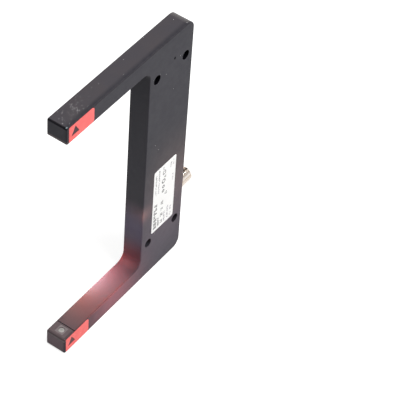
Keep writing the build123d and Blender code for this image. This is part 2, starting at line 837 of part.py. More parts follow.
# Insulator: carries the pins in the sleeve, with a collar on the socket's floor
with BuildPart() as connector_insulator:
    with BuildSketch(plug_plane.offset(insulator_end_x)):
        Circle(insulator_diameter / 2)
    extrude(amount=plug_socket_x + insulator_collar - insulator_end_x)
    with BuildSketch(plug_plane.offset(plug_socket_x)):
        Circle(plug_socket_diameter / 2 - plug_fit_clearance)
    extrude(amount=insulator_collar)
    with BuildSketch(plug_plane.offset(insulator_end_x)):
        add(pin_circles(pin_diameter / 2 + pin_clearance))
    extrude(amount=plug_socket_x + insulator_collar - insulator_end_x, mode=Mode.SUBTRACT)

connector_insulator.part.label = "connector_insulator"
export_step(connector_insulator.part, "parts/connector_insulator.step")

# Contact pins, from the terminal board to just short of the sleeve's rim
pin_end_x = plug_socket_x + insulator_collar + pin_reach
pin_places = PolarLocations(pin_circle_diameter / 2, pin_count).locations
for number, place in enumerate(pin_places, start=1):
    with BuildPart() as contact_pin:
        with BuildSketch(plug_plane.offset(terminal_x)):
            with Locations(place.position):
                Circle(pin_diameter / 2)
        extrude(amount=pin_end_x - terminal_x)
        chamfer(contact_pin.faces().sort_by(Axis.X)[-1].edges(), length=pin_tip_chamfer)

    contact_pin.part.label = f"contact_pin_{number}"
    export_step(contact_pin.part, f"parts/contact_pin_{number}.step")

# Terminal board: stands across the notch of the main board and holds the pins' tails
with BuildPart() as terminal_board:
    with BuildSketch(plug_plane.offset(terminal_x)):
        with Locations((cavity_middle_y, 0)):
            Rectangle(cavity_depth - 2 * terminal_board_edge_gap, terminal_board_height)
        add(pin_circles(pin_diameter / 2 + pin_clearance), mode=Mode.SUBTRACT)
    extrude(amount=terminal_board_thickness)

terminal_board.part.label = "terminal_board"
export_step(terminal_board.part, "parts/terminal_board.step")

# Light guide through the back wall, with a flange inside and a bevelled end outside
guide_wall_x = spine_back_x - side_wall
guide_inner_x = guide_wall_x - light_guide_inside
guide_length = spine_back_x + light_guide_proud - guide_inner_x
with BuildPart() as light_guide:
    with BuildSketch(light_plane.offset(guide_inner_x)):
        Circle(light_guide_diameter / 2)
    extrude(amount=guide_length)
    chamfer(light_guide.faces().sort_by(Axis.X)[-1].edges(), length=light_guide_proud)
    with BuildSketch(light_plane.offset(guide_wall_x)):
        Circle(light_guide_flange_diameter / 2)
    extrude(amount=-light_guide_flange)

light_guide.part.label = "light_guide"
export_step(light_guide.part, "parts/light_guide.step")

# Status light: a side-looking chip light on the main board, behind the guide
status_light_x = guide_inner_x - status_light_gap - status_light_depth / 2
status_light_height = 2 * light_above_board
with BuildPart() as status_light:
    with BuildSketch(board_seat(status_light_x, light_z)):
        Rectangle(status_light_depth, status_light_size)
    extrude(amount=status_light_height)

status_light.part.label = "status_light"
export_step(status_light.part, "parts/status_light.step")

# Label on the broad face
with BuildPart() as label:
    with BuildSketch(depth_plane(front_y)):
        with Locations((0, base_z + label_above_base + label_height / 2)):
            RectangleRounded(label_width, label_height, label_corner_radius)
    extrude(amount=foil_thickness)

label.part.label = "label"
export_step(label.part, "parts/label.step")

# A sticker at each arm's tip, with an arrow cut out over the light's path
stickers = (
    ("lower_arrow_sticker", base_z, lower_sticker_inset),
    ("upper_arrow_sticker", upper_face_z, upper_sticker_inset),
)
for name, arm_foot_z, sticker_inset in stickers:
    sticker_middle_x = tip_x + sticker_inset + sticker_length / 2
    arrow_x = tip_x + sticker_inset + arrow_inset
    arrow_z = arm_foot_z + arrow_foot_height
    with BuildPart() as sticker:
        with BuildSketch(depth_plane(front_y)) as sticker_outline:
            with Locations((sticker_middle_x, arm_foot_z + arm_height / 2)):
                Rectangle(sticker_length, arm_height - 2 * sticker_margin)
            fillet(sticker_outline.vertices().group_by(Axis.X)[-1], radius=sticker_corner_radius)
            fillet(sticker_outline.vertices().group_by(Axis.X)[0], radius=sticker_tip_corner_radius)
            with BuildLine():
                Polyline(
                    (arrow_x - arrow_width / 2, arrow_z),
                    (arrow_x + arrow_width / 2, arrow_z),
                    (arrow_x, arrow_z + arrow_height),
                    close=True,
                )
            make_face(mode=Mode.SUBTRACT)
        extrude(amount=foil_thickness)

    sticker.part.label = name
    export_step(sticker.part, f"parts/{name}.step")
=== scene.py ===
"""Looks of the fork sensor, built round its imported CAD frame. Metres, in the row's own frame."""

import logging
import math
import random
from collections.abc import Callable, Iterable, Mapping, Sequence
from dataclasses import dataclass, replace
from enum import Enum
from functools import cache
from typing import Protocol

import bmesh
import bpy
from mathutils import Matrix, Vector

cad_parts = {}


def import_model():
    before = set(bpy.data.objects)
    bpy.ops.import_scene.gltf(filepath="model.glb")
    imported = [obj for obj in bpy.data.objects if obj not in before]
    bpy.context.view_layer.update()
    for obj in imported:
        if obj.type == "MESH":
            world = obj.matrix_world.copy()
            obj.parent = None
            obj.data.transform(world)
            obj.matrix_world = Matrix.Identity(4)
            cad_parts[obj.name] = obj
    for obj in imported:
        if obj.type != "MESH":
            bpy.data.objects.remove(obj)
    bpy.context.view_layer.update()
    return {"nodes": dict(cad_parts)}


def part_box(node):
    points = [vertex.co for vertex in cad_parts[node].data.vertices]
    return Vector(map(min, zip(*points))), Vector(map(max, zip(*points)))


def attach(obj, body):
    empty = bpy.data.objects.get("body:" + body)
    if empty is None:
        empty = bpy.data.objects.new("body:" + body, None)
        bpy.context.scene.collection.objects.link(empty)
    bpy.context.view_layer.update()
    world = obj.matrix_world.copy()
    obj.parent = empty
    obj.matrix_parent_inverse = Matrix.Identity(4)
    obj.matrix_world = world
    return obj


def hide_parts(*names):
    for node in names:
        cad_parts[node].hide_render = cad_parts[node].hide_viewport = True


Colour = tuple[float, float, float]
Point = tuple[float, float, float]
Pair = tuple[float, float]
Word = tuple[float, float, float, float]
Shape = bmesh.types.BMesh
Loop = Sequence[bmesh.types.BMVert]
Socket = bpy.types.NodeSocket
Thing = bpy.types.Object
Fed = Socket | float | Sequence[float]

LOG = logging.getLogger("fork_sensor")
BODY = "root"
FAR = 1.0
FULL: Pair = (0.0, 1.0)
MIDDLE: Pair = (0.3, 0.7)
WHITE: Colour = (1.0, 1.0, 1.0)


class Axis(Enum):
    """The three axes, by their place in a vector."""

    X = 0
    Y = 1
    Z = 2


class Grain(Enum):
    """Which way the marks in a surface run."""

    EVEN = (1.0, 1.0, 1.0)
    ALONG_X = (0.04, 1.0, 1.0)


class Arm(Enum):
    """The two arms of the fork, by the way from the gap into the arm."""

    LOWER = -1
    UPPER = 1


class PlainSign(Enum):
    """Plain outlines on the label, by their number of sides."""

    RING = 24
    BOX = 4
    WEDGE = 3


class Lit(Enum):
    """What a lamp does with the piece that it names: lights it alone, or lights all but it."""

    ONLY = "INCLUDE"
    ALL_BUT = "EXCLUDE"


@dataclass(frozen=True)
class Patch:
    """A soft patch of a surface, which fades from a share of its reach along each axis.

    With facing, it lies only on faces whose normal along that axis is past the two limits.
    """

    place: Point
    reach: Point
    fade_from: float = 0.5
    colour: Colour = (0.0, 0.0, 0.0)
    share: float = 1.0
    facing: tuple[Axis, Pair] | None = None


class Finish(Protocol):
    """What a piece can be dressed in."""

    def material(self) -> bpy.types.Material:
        """The finish as a new material."""


@cache
def mixed(finish: Finish) -> bpy.types.Material:
    """A finish as a material, which is mixed once and then shared."""
    return finish.material()


class Nodes:
    """A node tree, and calls that add to it."""

    def __init__(self, tree: bpy.types.NodeTree) -> None:
        """Starts on the node tree of a material or of the world."""
        self.tree = tree

    def feed(self, node: bpy.types.Node, slot: str | int, value: Fed) -> None:
        """Links a socket to a node's input, or sets the input to a value.

        Args:
            node: the node that takes it.
            slot: the input's name or number.
            value: a socket, a number, a vector or a colour of three numbers.
        """
        taker = node.inputs[slot]
        if isinstance(value, Socket):
            self.tree.links.new(value, taker)
        else:
            taker.default_value = (*value, 1.0) if taker.type == "RGBA" else value

    def add(self, kind: str, inputs: Mapping[str | int, Fed], **settings: str) -> bpy.types.Node:
        """Adds one node.

        Args:
            kind: the node's type.
            inputs: what its inputs take.
            settings: its own settings.

        Returns:
            The node.
        """
        node = self.tree.nodes.new(kind)
        for setting, choice in settings.items():
            setattr(node, setting, choice)
        for slot, value in inputs.items():
            self.feed(node, slot, value)
        return node

    def math(self, operation: str, first: Fed, second: Fed = 0.0) -> Socket:
        """Arithmetic on one or two values, by the name of a Math node's operation."""
        return self.add("ShaderNodeMath", {0: first, 1: second}, operation=operation).outputs[0]

    def span(self, value: Socket, source: Pair, target: Pair = FULL) -> Socket:
        """Stretches a value's source range over a target range, and cuts it off at both ends."""
        return self.add("ShaderNodeMapRange", dict(enumerate((value, *source, *target)))).outputs[0]

    def seen_directly(self) -> Socket:
        """1 for what the camera sees itself, in a shiny surface or through a clear one."""
        rays = self.add("ShaderNodeLightPath", {}).outputs
        shiny = self.math("MAXIMUM", rays["Is Camera Ray"], rays["Is Glossy Ray"])
        return self.math("MAXIMUM", shiny, rays["Is Transmission Ray"])


class Recipe(Nodes):
    """A material in the making: one Principled shader, and calls for the patterns that feed it."""

    speck_rim: float = 0.25
    round_limits: Pair = (0.12, 0.4)

    def __init__(self, name: str) -> None:
        """Starts an empty node material.

        Args:
            name: the material's name.
        """
        self.material = bpy.data.materials.new(name)
        self.material.use_nodes = True
        super().__init__(self.material.node_tree)
        self.tree.nodes.clear()
        self.shader = self.add("ShaderNodeBsdfPrincipled", {})
        self.add("ShaderNodeOutputMaterial", {"Surface": self.shader.outputs["BSDF"]})
        self.place = self.add("ShaderNodeTexCoord", {}).outputs["Object"]

    def set(self, slot: str, value: Fed) -> None:
        """Sets or links one input of the shader."""
        self.feed(self.shader, slot, value)

    def noise(self, size: float, detail: float = 2.0, grain: Grain = Grain.EVEN) -> Socket:
        """Soft random blotches.

        Args:
            size: how far apart they lie, in metres.
            detail: how many finer layers lie on top.
            grain: the way they run.

        Returns:
            A value between 0 and 1, about 0.5 on average.
        """
        place = self.add("ShaderNodeMapping", {"Vector": self.place, "Scale": grain.value}).outputs[0]
        inputs = {"Vector": place, "Scale": 1 / size, "Detail": detail}
        return self.add("ShaderNodeTexNoise", inputs).outputs["Fac"]

    def mottle(
        self,
        size: float,
        target: Pair = FULL,
        detail: float = 2.0,
        grain: Grain = Grain.EVEN,
        limits: Pair = MIDDLE,
    ) -> Socket:
        """Blotches in the target range, from the part of the noise that lies within the limits."""
        return self.span(self.noise(size, detail, grain), limits, target)

    def specks(self, spacing: float, share: float, radius: float) -> Socket:
        """Small round specks in random places and sizes.

        Args:
            spacing: how far apart they could lie, in metres.
            share: the share of those places that hold one.
            radius: the largest speck's radius, in metres.

        Returns:
            1 on a speck and 0 off it.
        """
        cells = self.add("ShaderNodeTexVoronoi", {"Vector": self.place, "Scale": 1 / spacing})
        chance = self.add("ShaderNodeSeparateColor", {0: cells.outputs["Color"]}).outputs[0]
        reach = self.span(chance, (1 - share, 1.0), (0.0, radius / spacing))
        inside = self.math("SUBTRACT", reach, cells.outputs["Distance"])
        return self.span(inside, (0.0, self.speck_rim * radius / spacing))

    def part(self, vector: Socket, axis: Axis) -> Socket:
        """One part of a vector."""
        return self.add("ShaderNodeSeparateXYZ", {0: vector}).outputs[axis.value]

    def along(self, axis: Axis, limits: Pair) -> Socket:
        """0 before the first of two places along an axis, and 1 past the second."""
        return self.span(self.part(self.place, axis), limits)

    def normal(self, axis: Axis) -> Socket:
        """One part of the way that the surface faces."""
        return self.part(self.add("ShaderNodeNewGeometry", {}).outputs["Normal"], axis)

    def patch(self, patch: Patch) -> Socket:
        """Where a soft patch lies.

        Args:
            patch: the patch.

        Returns:
            The patch's share inside it and 0 outside it.
        """
        offset = self.add("ShaderNodeVectorMath", {0: self.place, 1: patch.place}, operation="SUBTRACT")
        inputs = {0: offset.outputs[0], 1: patch.reach}
        scaled = self.add("ShaderNodeVectorMath", inputs, operation="DIVIDE")
        length = self.add("ShaderNodeVectorMath", {0: scaled.outputs[0]}, operation="LENGTH")
        strength = self.span(length.outputs["Value"], (1.0, patch.fade_from), (0.0, patch.share))
        if patch.facing:
            axis, limits = patch.facing
            strength = self.math("MULTIPLY", strength, self.span(self.normal(axis), limits))
        return strength

    def rounding(self, first: Axis, second: Axis) -> Socket:
        """1 halfway round the edges between the faces that look along two axes, and 0 on the faces."""
        product = self.math("MULTIPLY", self.normal(first), self.normal(second))
        return self.span(self.math("ABSOLUTE", product), self.round_limits)

    def blend(self, share: Socket, first: Fed, second: Fed) -> Socket:
        """Goes from a first colour, where the share is 0, to a second one, where it is 1."""
        inputs = {"Factor": share, "A": first, "B": second}
        return self.add("ShaderNodeMix", inputs, data_type="RGBA").outputs["Result"]

    def tinted(self, paint: Fed, *patches: Patch) -> Fed:
        """A colour with soft patches of other colours on it."""
        for patch in patches:
            paint = self.blend(self.patch(patch), paint, patch.colour)
        return paint

    def relief(self, height: Socket, depth: float, strength: float) -> None:
        """Raises the surface by a pattern of 0 to 1, to a depth in metres, of which a share shows."""
        bump = self.add("ShaderNodeBump", {"Height": height, "Distance": depth, "Strength": strength})
        self.set("Normal", bump.outputs[0])


@dataclass(frozen=True)
class CastPaint:
    """Matt black paint on a metal casting, with a fine grain, handling marks and dust, and with painted
    shade, painted dark reflections, a painted sheen, a painted highlight and painted reddish glows.
    """

    name: str = "black_cast_paint"
    colour: Colour = (0.0305, 0.0295, 0.0370)
    worn_colour: Colour = (0.0336, 0.0326, 0.0403)
    worn_limits: Pair = (0.42, 0.68)
    # The colour of the painted shade and dark reflection in the places below, and of one real nick.
    shade_and_nick_colour: Colour = (0.002, 0.002, 0.003)
    roughness: Pair = (0.54, 0.60)
    specular: float = 0.145
    grain_size: float = 0.00035
    grain_depth: float = 0.000006
    blotch_size: float = 0.009
    gloss_size: float = 0.003
    film_colour: Colour = (0.0365, 0.0310, 0.0338)
    film_share: Pair = (0.35, 0.75)
    film_height: Pair = (0.0663, 0.0668)
    # The colour of the dust specks, and of the painted sheen on the spine's upper back corner.
    dust_and_sheen_colour: Colour = (0.80, 0.76, 0.70)
    # The painted sheen: a paler haze in place of the light caught on the spine's rounded upper back corner.
    painted_sheen_share: float = 0.12
    painted_sheen_limits: tuple[tuple[Axis, Pair], ...] = (
        (Axis.X, (0.0098, 0.0142)),
        (Axis.Y, (-0.0049, -0.0040)),
        (Axis.Z, (0.0610, 0.0640)),
    )
    speck_spacing: float = 0.0024
    speck_share: float = 0.16
    speck_radius: float = 0.00015
    speck_depth: Pair = (0.0045, 0.0047)
    # The painted dark reflection along the front edges: its colour, its breaks and where it lies.
    edge_colour: Colour = (0.013, 0.0125, 0.017)
    edge_break_size: float = 0.00225
    edge_breaks: Pair = (0.35, 0.65)
    edge_share: Pair = (0.7, 1.0)
    top_edge: Patch = Patch((0.0, -0.0043, 0.067), (FAR, 0.0019, 0.0009), 0.1)
    tip_edge: Patch = Patch((-0.070, -0.005, 0.0625), (0.0013, 0.0013, FAR), 0.2)
    # Where the painted dark reflection lies on the rounding of each tip.
    tip_round: Patch = Patch((-0.070, -0.005, 0.0625), (0.002, FAR, FAR), 0.9, share=0.8)
    # A painted highlight: a small light bluish glint on the upper tip's front top corner.
    tip_glint: Patch = Patch((-0.0692, -0.0043, 0.0669), (0.0006, 0.0004, 0.0005), 0.4, (0.17, 0.21, 0.225))
    # A painted reddish glow along the lower arm's front edge, by the gap.
    pale: Patch = Patch((-0.044, -0.0048, -0.0622), (0.028, 0.0010, 0.0010), 0.6, (0.043, 0.030, 0.034))
    # Painted reddish glows on the front faces near both tips, by the arrow stickers, stronger on the lower
    # arm.
    painted_arrow_glows: tuple[Patch, ...] = (
        Patch((-0.0650, -0.005, -0.0659), (0.0045, 0.002, 0.0036), 0.85, (0.104, 0.049, 0.052)),
        Patch((-0.0648, -0.005, 0.0631), (0.0045, 0.002, 0.0036), 0.85, (0.066, 0.037, 0.043)),
    )
    # Painted shade inside the four screw holes, deepest in the upper two.
    bore_shades: tuple[Patch, ...] = tuple(
        Patch((x, 0.0, z), (0.0023, FAR, 0.0023), 0.98, share=share)
        for x, z, share in ((-0.01, -0.05, 0.38), (0.01, -0.05, 0.6), (-0.01, 0.05, 1.0), (0.01, 0.05, 1.0))
    )
    nick: Patch = Patch((0.0021, -0.005, 0.0537), (0.0007, 0.0006, 0.0009), 0.6)
    # Painted shade on the slot wall, deepest under the upper arm.
    slot_wall_shade: Patch = Patch(
        (-0.015, 0.0, 0.058), (0.0006, FAR, 0.060), 0.2, share=0.27, facing=(Axis.X, (-0.6, -0.95))
    )
    # Painted shade on the lower arm's inner face, in its corner by the slot wall.
    heel_shade: Patch = Patch(
        (-0.0180, -0.0050, -0.0610), (0.0065, 0.0062, 0.0050), 0.2, share=0.34, facing=(Axis.Z, (0.15, 0.5))
    )

    def material(self) -> bpy.types.Material:
        """The paint as a material."""
        recipe = Recipe(self.name)
        blotches = recipe.noise(self.blotch_size, detail=4.0)
        paint = recipe.blend(recipe.span(blotches, self.worn_limits), self.colour, self.worn_colour)
        # Painted reddish glows by the arrow stickers.
        paint = recipe.tinted(paint, *self.painted_arrow_glows)
        film = recipe.span(blotches, MIDDLE, self.film_share)
        film = recipe.math("MULTIPLY", film, recipe.along(Axis.Z, self.film_height))
        paint = recipe.blend(film, paint, self.film_colour)
        # Painted dark reflection along the front edges.
        paint = recipe.blend(self.edge_shade(recipe), paint, self.edge_colour)
        # The painted reddish glow along the lower arm's front edge.
        paint = recipe.tinted(paint, self.pale)
        # Dust specks, and the painted sheen on the spine's upper back corner.
        paint = recipe.blend(self.dust(recipe), paint, self.dust_and_sheen_colour)
        # Painted shade and dark reflection, with one real nick, darken the paint here and take away its
        # gloss.
        dark = self.tip_shade(recipe)
        for shade in (self.nick, *self.bore_shades, self.slot_wall_shade, self.heel_shade):
            dark = recipe.math("MAXIMUM", dark, recipe.patch(shade))
        paint = recipe.blend(dark, paint, self.shade_and_nick_colour)
        # The painted highlight on the upper tip's corner goes on last.
        recipe.set("Base Color", recipe.tinted(paint, self.tip_glint))
        recipe.set("Roughness", recipe.mottle(self.gloss_size, self.roughness))
        recipe.set("Specular IOR Level", recipe.span(dark, FULL, (self.specular, 0.0)))
        recipe.relief(recipe.noise(self.grain_size, detail=3.0), self.grain_depth, strength=0.6)
        return recipe.material

    def dust(self, recipe: Recipe) -> Socket:
        """A painted sheen on the rounded upper back corner of the spine, and the specks of dust on the far
        side.

        Args:
            recipe: the material in the making.

        Returns:
            The share of the colour of the dust and the painted sheen.
        """
        # The painted sheen on the spine's upper back corner.
        haze: Fed = self.painted_sheen_share
        for axis, limits in self.painted_sheen_limits:
            haze = recipe.math("MULTIPLY", recipe.along(axis, limits), haze)
        specks = recipe.specks(self.speck_spacing, self.speck_share, self.speck_radius)
        specks = recipe.math("MULTIPLY", specks, recipe.along(Axis.Y, self.speck_depth))
        return recipe.math("MAXIMUM", haze, specks)

    def tip_shade(self, recipe: Recipe) -> Socket:
        """The painted dark reflection, nearly black, on the rounding at the end of each arm."""
        return recipe.math("MULTIPLY", recipe.rounding(Axis.X, Axis.Z), recipe.patch(self.tip_round))

    def edge_shade(self, recipe: Recipe) -> Socket:
        """The painted dark reflection along the front edges: along the top and down each tip.

        Args:
            recipe: the material in the making.

        Returns:
            A value that is highest on such an edge and 0 away from it.
        """
        breaks = recipe.mottle(self.edge_break_size, self.edge_share, detail=3.0, limits=self.edge_breaks)
        along_top = recipe.math("MULTIPLY", recipe.patch(self.top_edge), breaks)
        return recipe.math("MAXIMUM", along_top, recipe.patch(self.tip_edge))


@dataclass(frozen=True)
class Moulded:
    """Moulded plastic, rubber, resin, ceramic, ink or dust with a fine skin, and any patches of painted shade
    that it is given.
    """

    name: str
    colour: Colour
    second_colour: Colour
    roughness: Pair = (0.35, 0.5)
    blotch_size: float = 0.002
    gloss_share: float = 0.5
    skin_size: float = 0.00015
    skin_depth: float = 0.000004
    specular: float = 0.4
    see_through: float = 0.0
    grain: Grain = Grain.EVEN
    painted_shades: tuple[Patch, ...] = ()

    def material(self) -> bpy.types.Material:
        """The plastic as a material."""
        recipe = Recipe(self.name)
        blotches = recipe.mottle(self.blotch_size, detail=3.0, grain=self.grain)
        skin = recipe.blend(blotches, self.colour, self.second_colour)
        # Painted shade, where given, goes on last.
        recipe.set("Base Color", recipe.tinted(skin, *self.painted_shades))
        recipe.set("Roughness", recipe.mottle(self.blotch_size * self.gloss_share, self.roughness))
        recipe.set("Specular IOR Level", self.specular)
        if self.see_through:
            recipe.set("Transmission Weight", self.see_through)
        recipe.relief(recipe.noise(self.skin_size, grain=self.grain), self.skin_depth, strength=0.5)
        return recipe.material


@dataclass(frozen=True)
class Metal:
    """Bare or plated metal with tool marks."""

    name: str
    colour: Colour
    second_colour: Colour
    roughness: Pair = (0.18, 0.34)
    mark_size: float = 0.0002
    mark_depth: float = 0.000006
    stain_size: float = 0.0025
    grain: Grain = Grain.EVEN
    stain_limits: Pair = (0.38, 0.66)
    mark_limits: Pair = (0.25, 0.75)

    def material(self) -> bpy.types.Material:
        """The metal as a material."""
        recipe = Recipe(self.name)
        stains = recipe.mottle(self.stain_size, detail=4.0, grain=self.grain, limits=self.stain_limits)
        recipe.set("Base Color", recipe.blend(stains, self.colour, self.second_colour))
        recipe.set("Metallic", 1.0)
        marks = recipe.noise(self.mark_size, detail=3.0, grain=self.grain)
        recipe.set("Roughness", recipe.span(marks, self.mark_limits, self.roughness))
        recipe.relief(marks, self.mark_depth, strength=0.6)
        return recipe.material


@dataclass(frozen=True)
class PrintedFoil:
    """Thin printed film with a satin face, faint waves and a few rubbed specks."""

    name: str
    colour: Colour
    second_colour: Colour
    rub_colour: Colour
    rub_share: float = 0.12
    rub_spacing: float = 0.004 / 3
    rub_radius: float = 0.00025
    roughness: Pair = (0.38, 0.52)
    gloss_size: float = 0.001
    specular: float = 0.35
    wave_size: float = 0.004
    wave_depth: float = 0.00002

    def material(self) -> bpy.types.Material:
        """The foil as a material."""
        recipe = Recipe(self.name)
        ink = recipe.blend(recipe.mottle(self.wave_size, detail=3.0), self.colour, self.second_colour)
        pale = recipe.specks(self.rub_spacing, self.rub_share, self.rub_radius)
        recipe.set("Base Color", recipe.blend(pale, ink, self.rub_colour))
        recipe.set("Roughness", recipe.mottle(self.gloss_size, self.roughness))
        recipe.set("Specular IOR Level", self.specular)
        recipe.relief(recipe.noise(self.wave_size, detail=1.0), self.wave_depth, strength=0.5)
        return recipe.material


@dataclass(frozen=True)
class CircuitLacquer:
    """Green lacquer of a circuit board, with copper tracks that show through as paler lines."""

    name: str = "board_lacquer"
    colour: Colour = (0.012, 0.085, 0.035)
    track_colour: Colour = (0.035, 0.19, 0.07)
    track_pitch: float = 0.0012
    track_share: float = 0.35
    track_flat: float = 0.8
    track_depth: float = 0.00002
    field_size: float = 0.006
    blotch_size: float = 0.003
    roughness: Pair = (0.25, 0.4)
    specular: float = 0.5

    def material(self) -> bpy.types.Material:
        """The lacquered board as a material."""
        recipe = Recipe(self.name)
        field = self.track_fields(recipe)
        across = recipe.math("MULTIPLY", self.lines(recipe, Axis.X), field)
        along = recipe.math("MULTIPLY", self.lines(recipe, Axis.Z), recipe.math("SUBTRACT", 1.0, field))
        tracks = recipe.math("MAXIMUM", across, along)
        recipe.set("Base Color", recipe.blend(tracks, self.colour, self.track_colour))
        recipe.set("Roughness", recipe.mottle(self.blotch_size, self.roughness))
        recipe.set("Specular IOR Level", self.specular)
        recipe.relief(tracks, self.track_depth, strength=0.6)
        return recipe.material

    def lines(self, recipe: Recipe, axis: Axis) -> Socket:
        """Equal lines in steps along an axis.

        Args:
            recipe: the material in the making.
            axis: the axis.

        Returns:
            1 on a line and 0 between two.
        """
        place = recipe.math("ABSOLUTE", recipe.part(recipe.place, axis))
        step = recipe.math("MODULO", place, self.track_pitch)
        off_middle = recipe.math("ABSOLUTE", recipe.math("SUBTRACT", step, self.track_pitch / 2))
        half = self.track_pitch * self.track_share / 2
        return recipe.span(off_middle, (half, half * self.track_flat))

    def track_fields(self, recipe: Recipe) -> Socket:
        """Fields of the board in which the tracks all run one way.

        Args:
            recipe: the material in the making.

        Returns:
            1 where they run up and down, and 0 where they run across.
        """
        inputs = {"Vector": recipe.place, "Scale": 1 / self.field_size}
        cells = recipe.add("ShaderNodeTexVoronoi", inputs, distance="CHEBYCHEV")
        chance = recipe.add("ShaderNodeSeparateColor", {0: cells.outputs["Color"]}).outputs[0]
        return recipe.math("GREATER_THAN", chance, 0.5)


@dataclass(frozen=True)
class MilkyGlass:
    """Milky glass of a lens, with a faint haze and a darker middle."""

    name: str = "lens_glass"
    colour: Colour = (0.24, 0.233, 0.222)
    haze_colour: Colour = (0.30, 0.290, 0.277)
    haze_size: float = 0.0006
    roughness: Pair = (0.25, 0.4)
    middle: Patch = Patch((-0.0658, 0.0, 0.0), (0.0009, 0.0009, FAR), 0.4, (0.21, 0.204, 0.194))
    refraction: float = 1.5
    see_through: float = 0.15
    skin_size: float = 0.0003
    skin_depth: float = 0.000004

    def material(self) -> bpy.types.Material:
        """The lens as a material."""
        recipe = Recipe(self.name)
        haze = recipe.mottle(self.haze_size, detail=3.0)
        glass = recipe.blend(haze, self.colour, self.haze_colour)
        recipe.set("Base Color", recipe.tinted(glass, self.middle))
        recipe.set("Roughness", recipe.span(haze, FULL, self.roughness))
        recipe.set("IOR", self.refraction)
        recipe.set("Transmission Weight", self.see_through)
        recipe.relief(recipe.noise(self.skin_size), self.skin_depth, strength=0.3)
        return recipe.material


@dataclass(frozen=True)
class TippedChip:
    """Small chips with bright solder ends: bodies in equal steps along X."""

    name: str
    colour: Colour
    step: float
    body_length: float
    first_x: float = 0.0
    tip_colour: Colour = (0.66, 0.66, 0.68)
    tip_sharpness: float = 0.96
    roughness: Pair = (0.5, 0.3)
    grain_size: float = 0.0003
    grain_share: Pair = (0.0, 0.25)

    def material(self) -> bpy.types.Material:
        """The chips as a material."""
        recipe = Recipe(self.name)
        half_step, half = self.step / 2, self.body_length / 2
        shifted = recipe.math("SUBTRACT", recipe.part(recipe.place, Axis.X), self.first_x - half_step)
        within = recipe.math("SUBTRACT", recipe.math("MODULO", shifted, self.step), half_step)
        tips = recipe.span(recipe.math("ABSOLUTE", within), (half * self.tip_sharpness, half))
        grain = recipe.mottle(self.grain_size, self.grain_share)
        body = recipe.blend(grain, self.colour, self.tip_colour)
        recipe.set("Base Color", recipe.blend(tips, body, self.tip_colour))
        recipe.set("Metallic", tips)
        recipe.set("Roughness", recipe.span(tips, FULL, self.roughness))
        return recipe.material


CAST_PAINT = CastPaint()
BOARD_LACQUER = CircuitLacquer()
LENS_GLASS = MilkyGlass()
# Painted shade on the windows: on the rounding at the tip end and along the front and back edges.
PAINTED_EDGE_SHADE = (0.021, 0.008, 0.011)
WINDOW_PLASTIC = Moulded(
    "window_plastic", (0.052, 0.034, 0.038), (0.067, 0.044, 0.048), (0.4, 0.5),
    painted_shades=(
        Patch((-0.0700, 0.0, 0.0), (0.0014, FAR, FAR), colour=PAINTED_EDGE_SHADE),
        Patch((0.0, -0.0050, 0.0), (FAR, 0.0013, FAR), colour=PAINTED_EDGE_SHADE),
        Patch((0.0, 0.0050, 0.0), (FAR, 0.0006, FAR), colour=PAINTED_EDGE_SHADE),
    ),
)
PANE_PLASTIC = Moulded("pane_plastic", (0.102, 0.083, 0.086), (0.131, 0.106, 0.110), (0.5, 0.6))
SEAL_RUBBER = Moulded("seal_rubber", (0.018, 0.018, 0.018), (0.03, 0.03, 0.03), (0.7, 0.9))
HOLDER_PLASTIC = Moulded("holder_plastic", (0.02, 0.02, 0.021), (0.032, 0.032, 0.033))
CHIP_PLASTIC = Moulded("chip_plastic", (0.022, 0.022, 0.024), (0.035, 0.035, 0.037), (0.5, 0.65))
EMITTER_RESIN = Moulded("emitter_resin", (0.75, 0.35, 0.32), (0.85, 0.48, 0.44), (0.1, 0.2), see_through=0.4)
LIGHT_RESIN = Moulded("light_resin", (0.80, 0.70, 0.30), (0.88, 0.80, 0.46), (0.15, 0.3), see_through=0.2)
GUIDE_PLASTIC = Moulded(
    "guide_plastic", (0.78, 0.80, 0.78), (0.86, 0.87, 0.85), (0.12, 0.25), see_through=0.55
)
SOCKET_PLASTIC = Moulded("socket_plastic", (0.62, 0.58, 0.48), (0.70, 0.66, 0.56))
RIBBON_FILM = Moulded(
    "ribbon_film", (0.42, 0.19, 0.035), (0.62, 0.34, 0.09), (0.22, 0.34), 0.0006,
    see_through=0.1, grain=Grain.ALONG_X,
)
FERRITE = Moulded("choke_ferrite", (0.045, 0.042, 0.042), (0.075, 0.07, 0.07), (0.55, 0.75))
INSULATOR_PLASTIC = Moulded("insulator_plastic", (0.028, 0.027, 0.027), (0.045, 0.043, 0.043))
PRINT_INK = Moulded("print_ink", (0.03, 0.03, 0.033), (0.07, 0.07, 0.075), (0.5, 0.6))
FINE_INK = Moulded("fine_ink", (0.26, 0.25, 0.28), (0.38, 0.37, 0.40), (0.5, 0.6))
LOOSE_DUST = Moulded("dust", (0.56, 0.55, 0.555), (0.66, 0.65, 0.655), (0.8, 0.95), 0.0002, specular=0.1)
PLUG_METAL = Metal(
    "plug_metal", (0.82, 0.785, 0.765), (0.50, 0.40, 0.31), (0.18, 0.30),
    mark_size=0.00018, mark_depth=0.000005, stain_size=0.0022, grain=Grain.ALONG_X,
)
PIN_GOLD = Metal("pin_gold", (0.85, 0.60, 0.24), (0.74, 0.50, 0.18), (0.14, 0.26))
SCREW_STEEL = Metal("screw_steel", (0.58, 0.58, 0.59), (0.46, 0.46, 0.47))
CAN_METAL = Metal("capacitor_can", (0.66, 0.67, 0.68), (0.58, 0.59, 0.60), (0.22, 0.36))
SOLDER = Metal("solder", (0.62, 0.62, 0.64), (0.50, 0.50, 0.52), (0.2, 0.34))
LABEL_FOIL = PrintedFoil("label_foil", (0.92, 0.92, 0.915), (0.95, 0.95, 0.945), (0.78, 0.78, 0.77), 0.05)
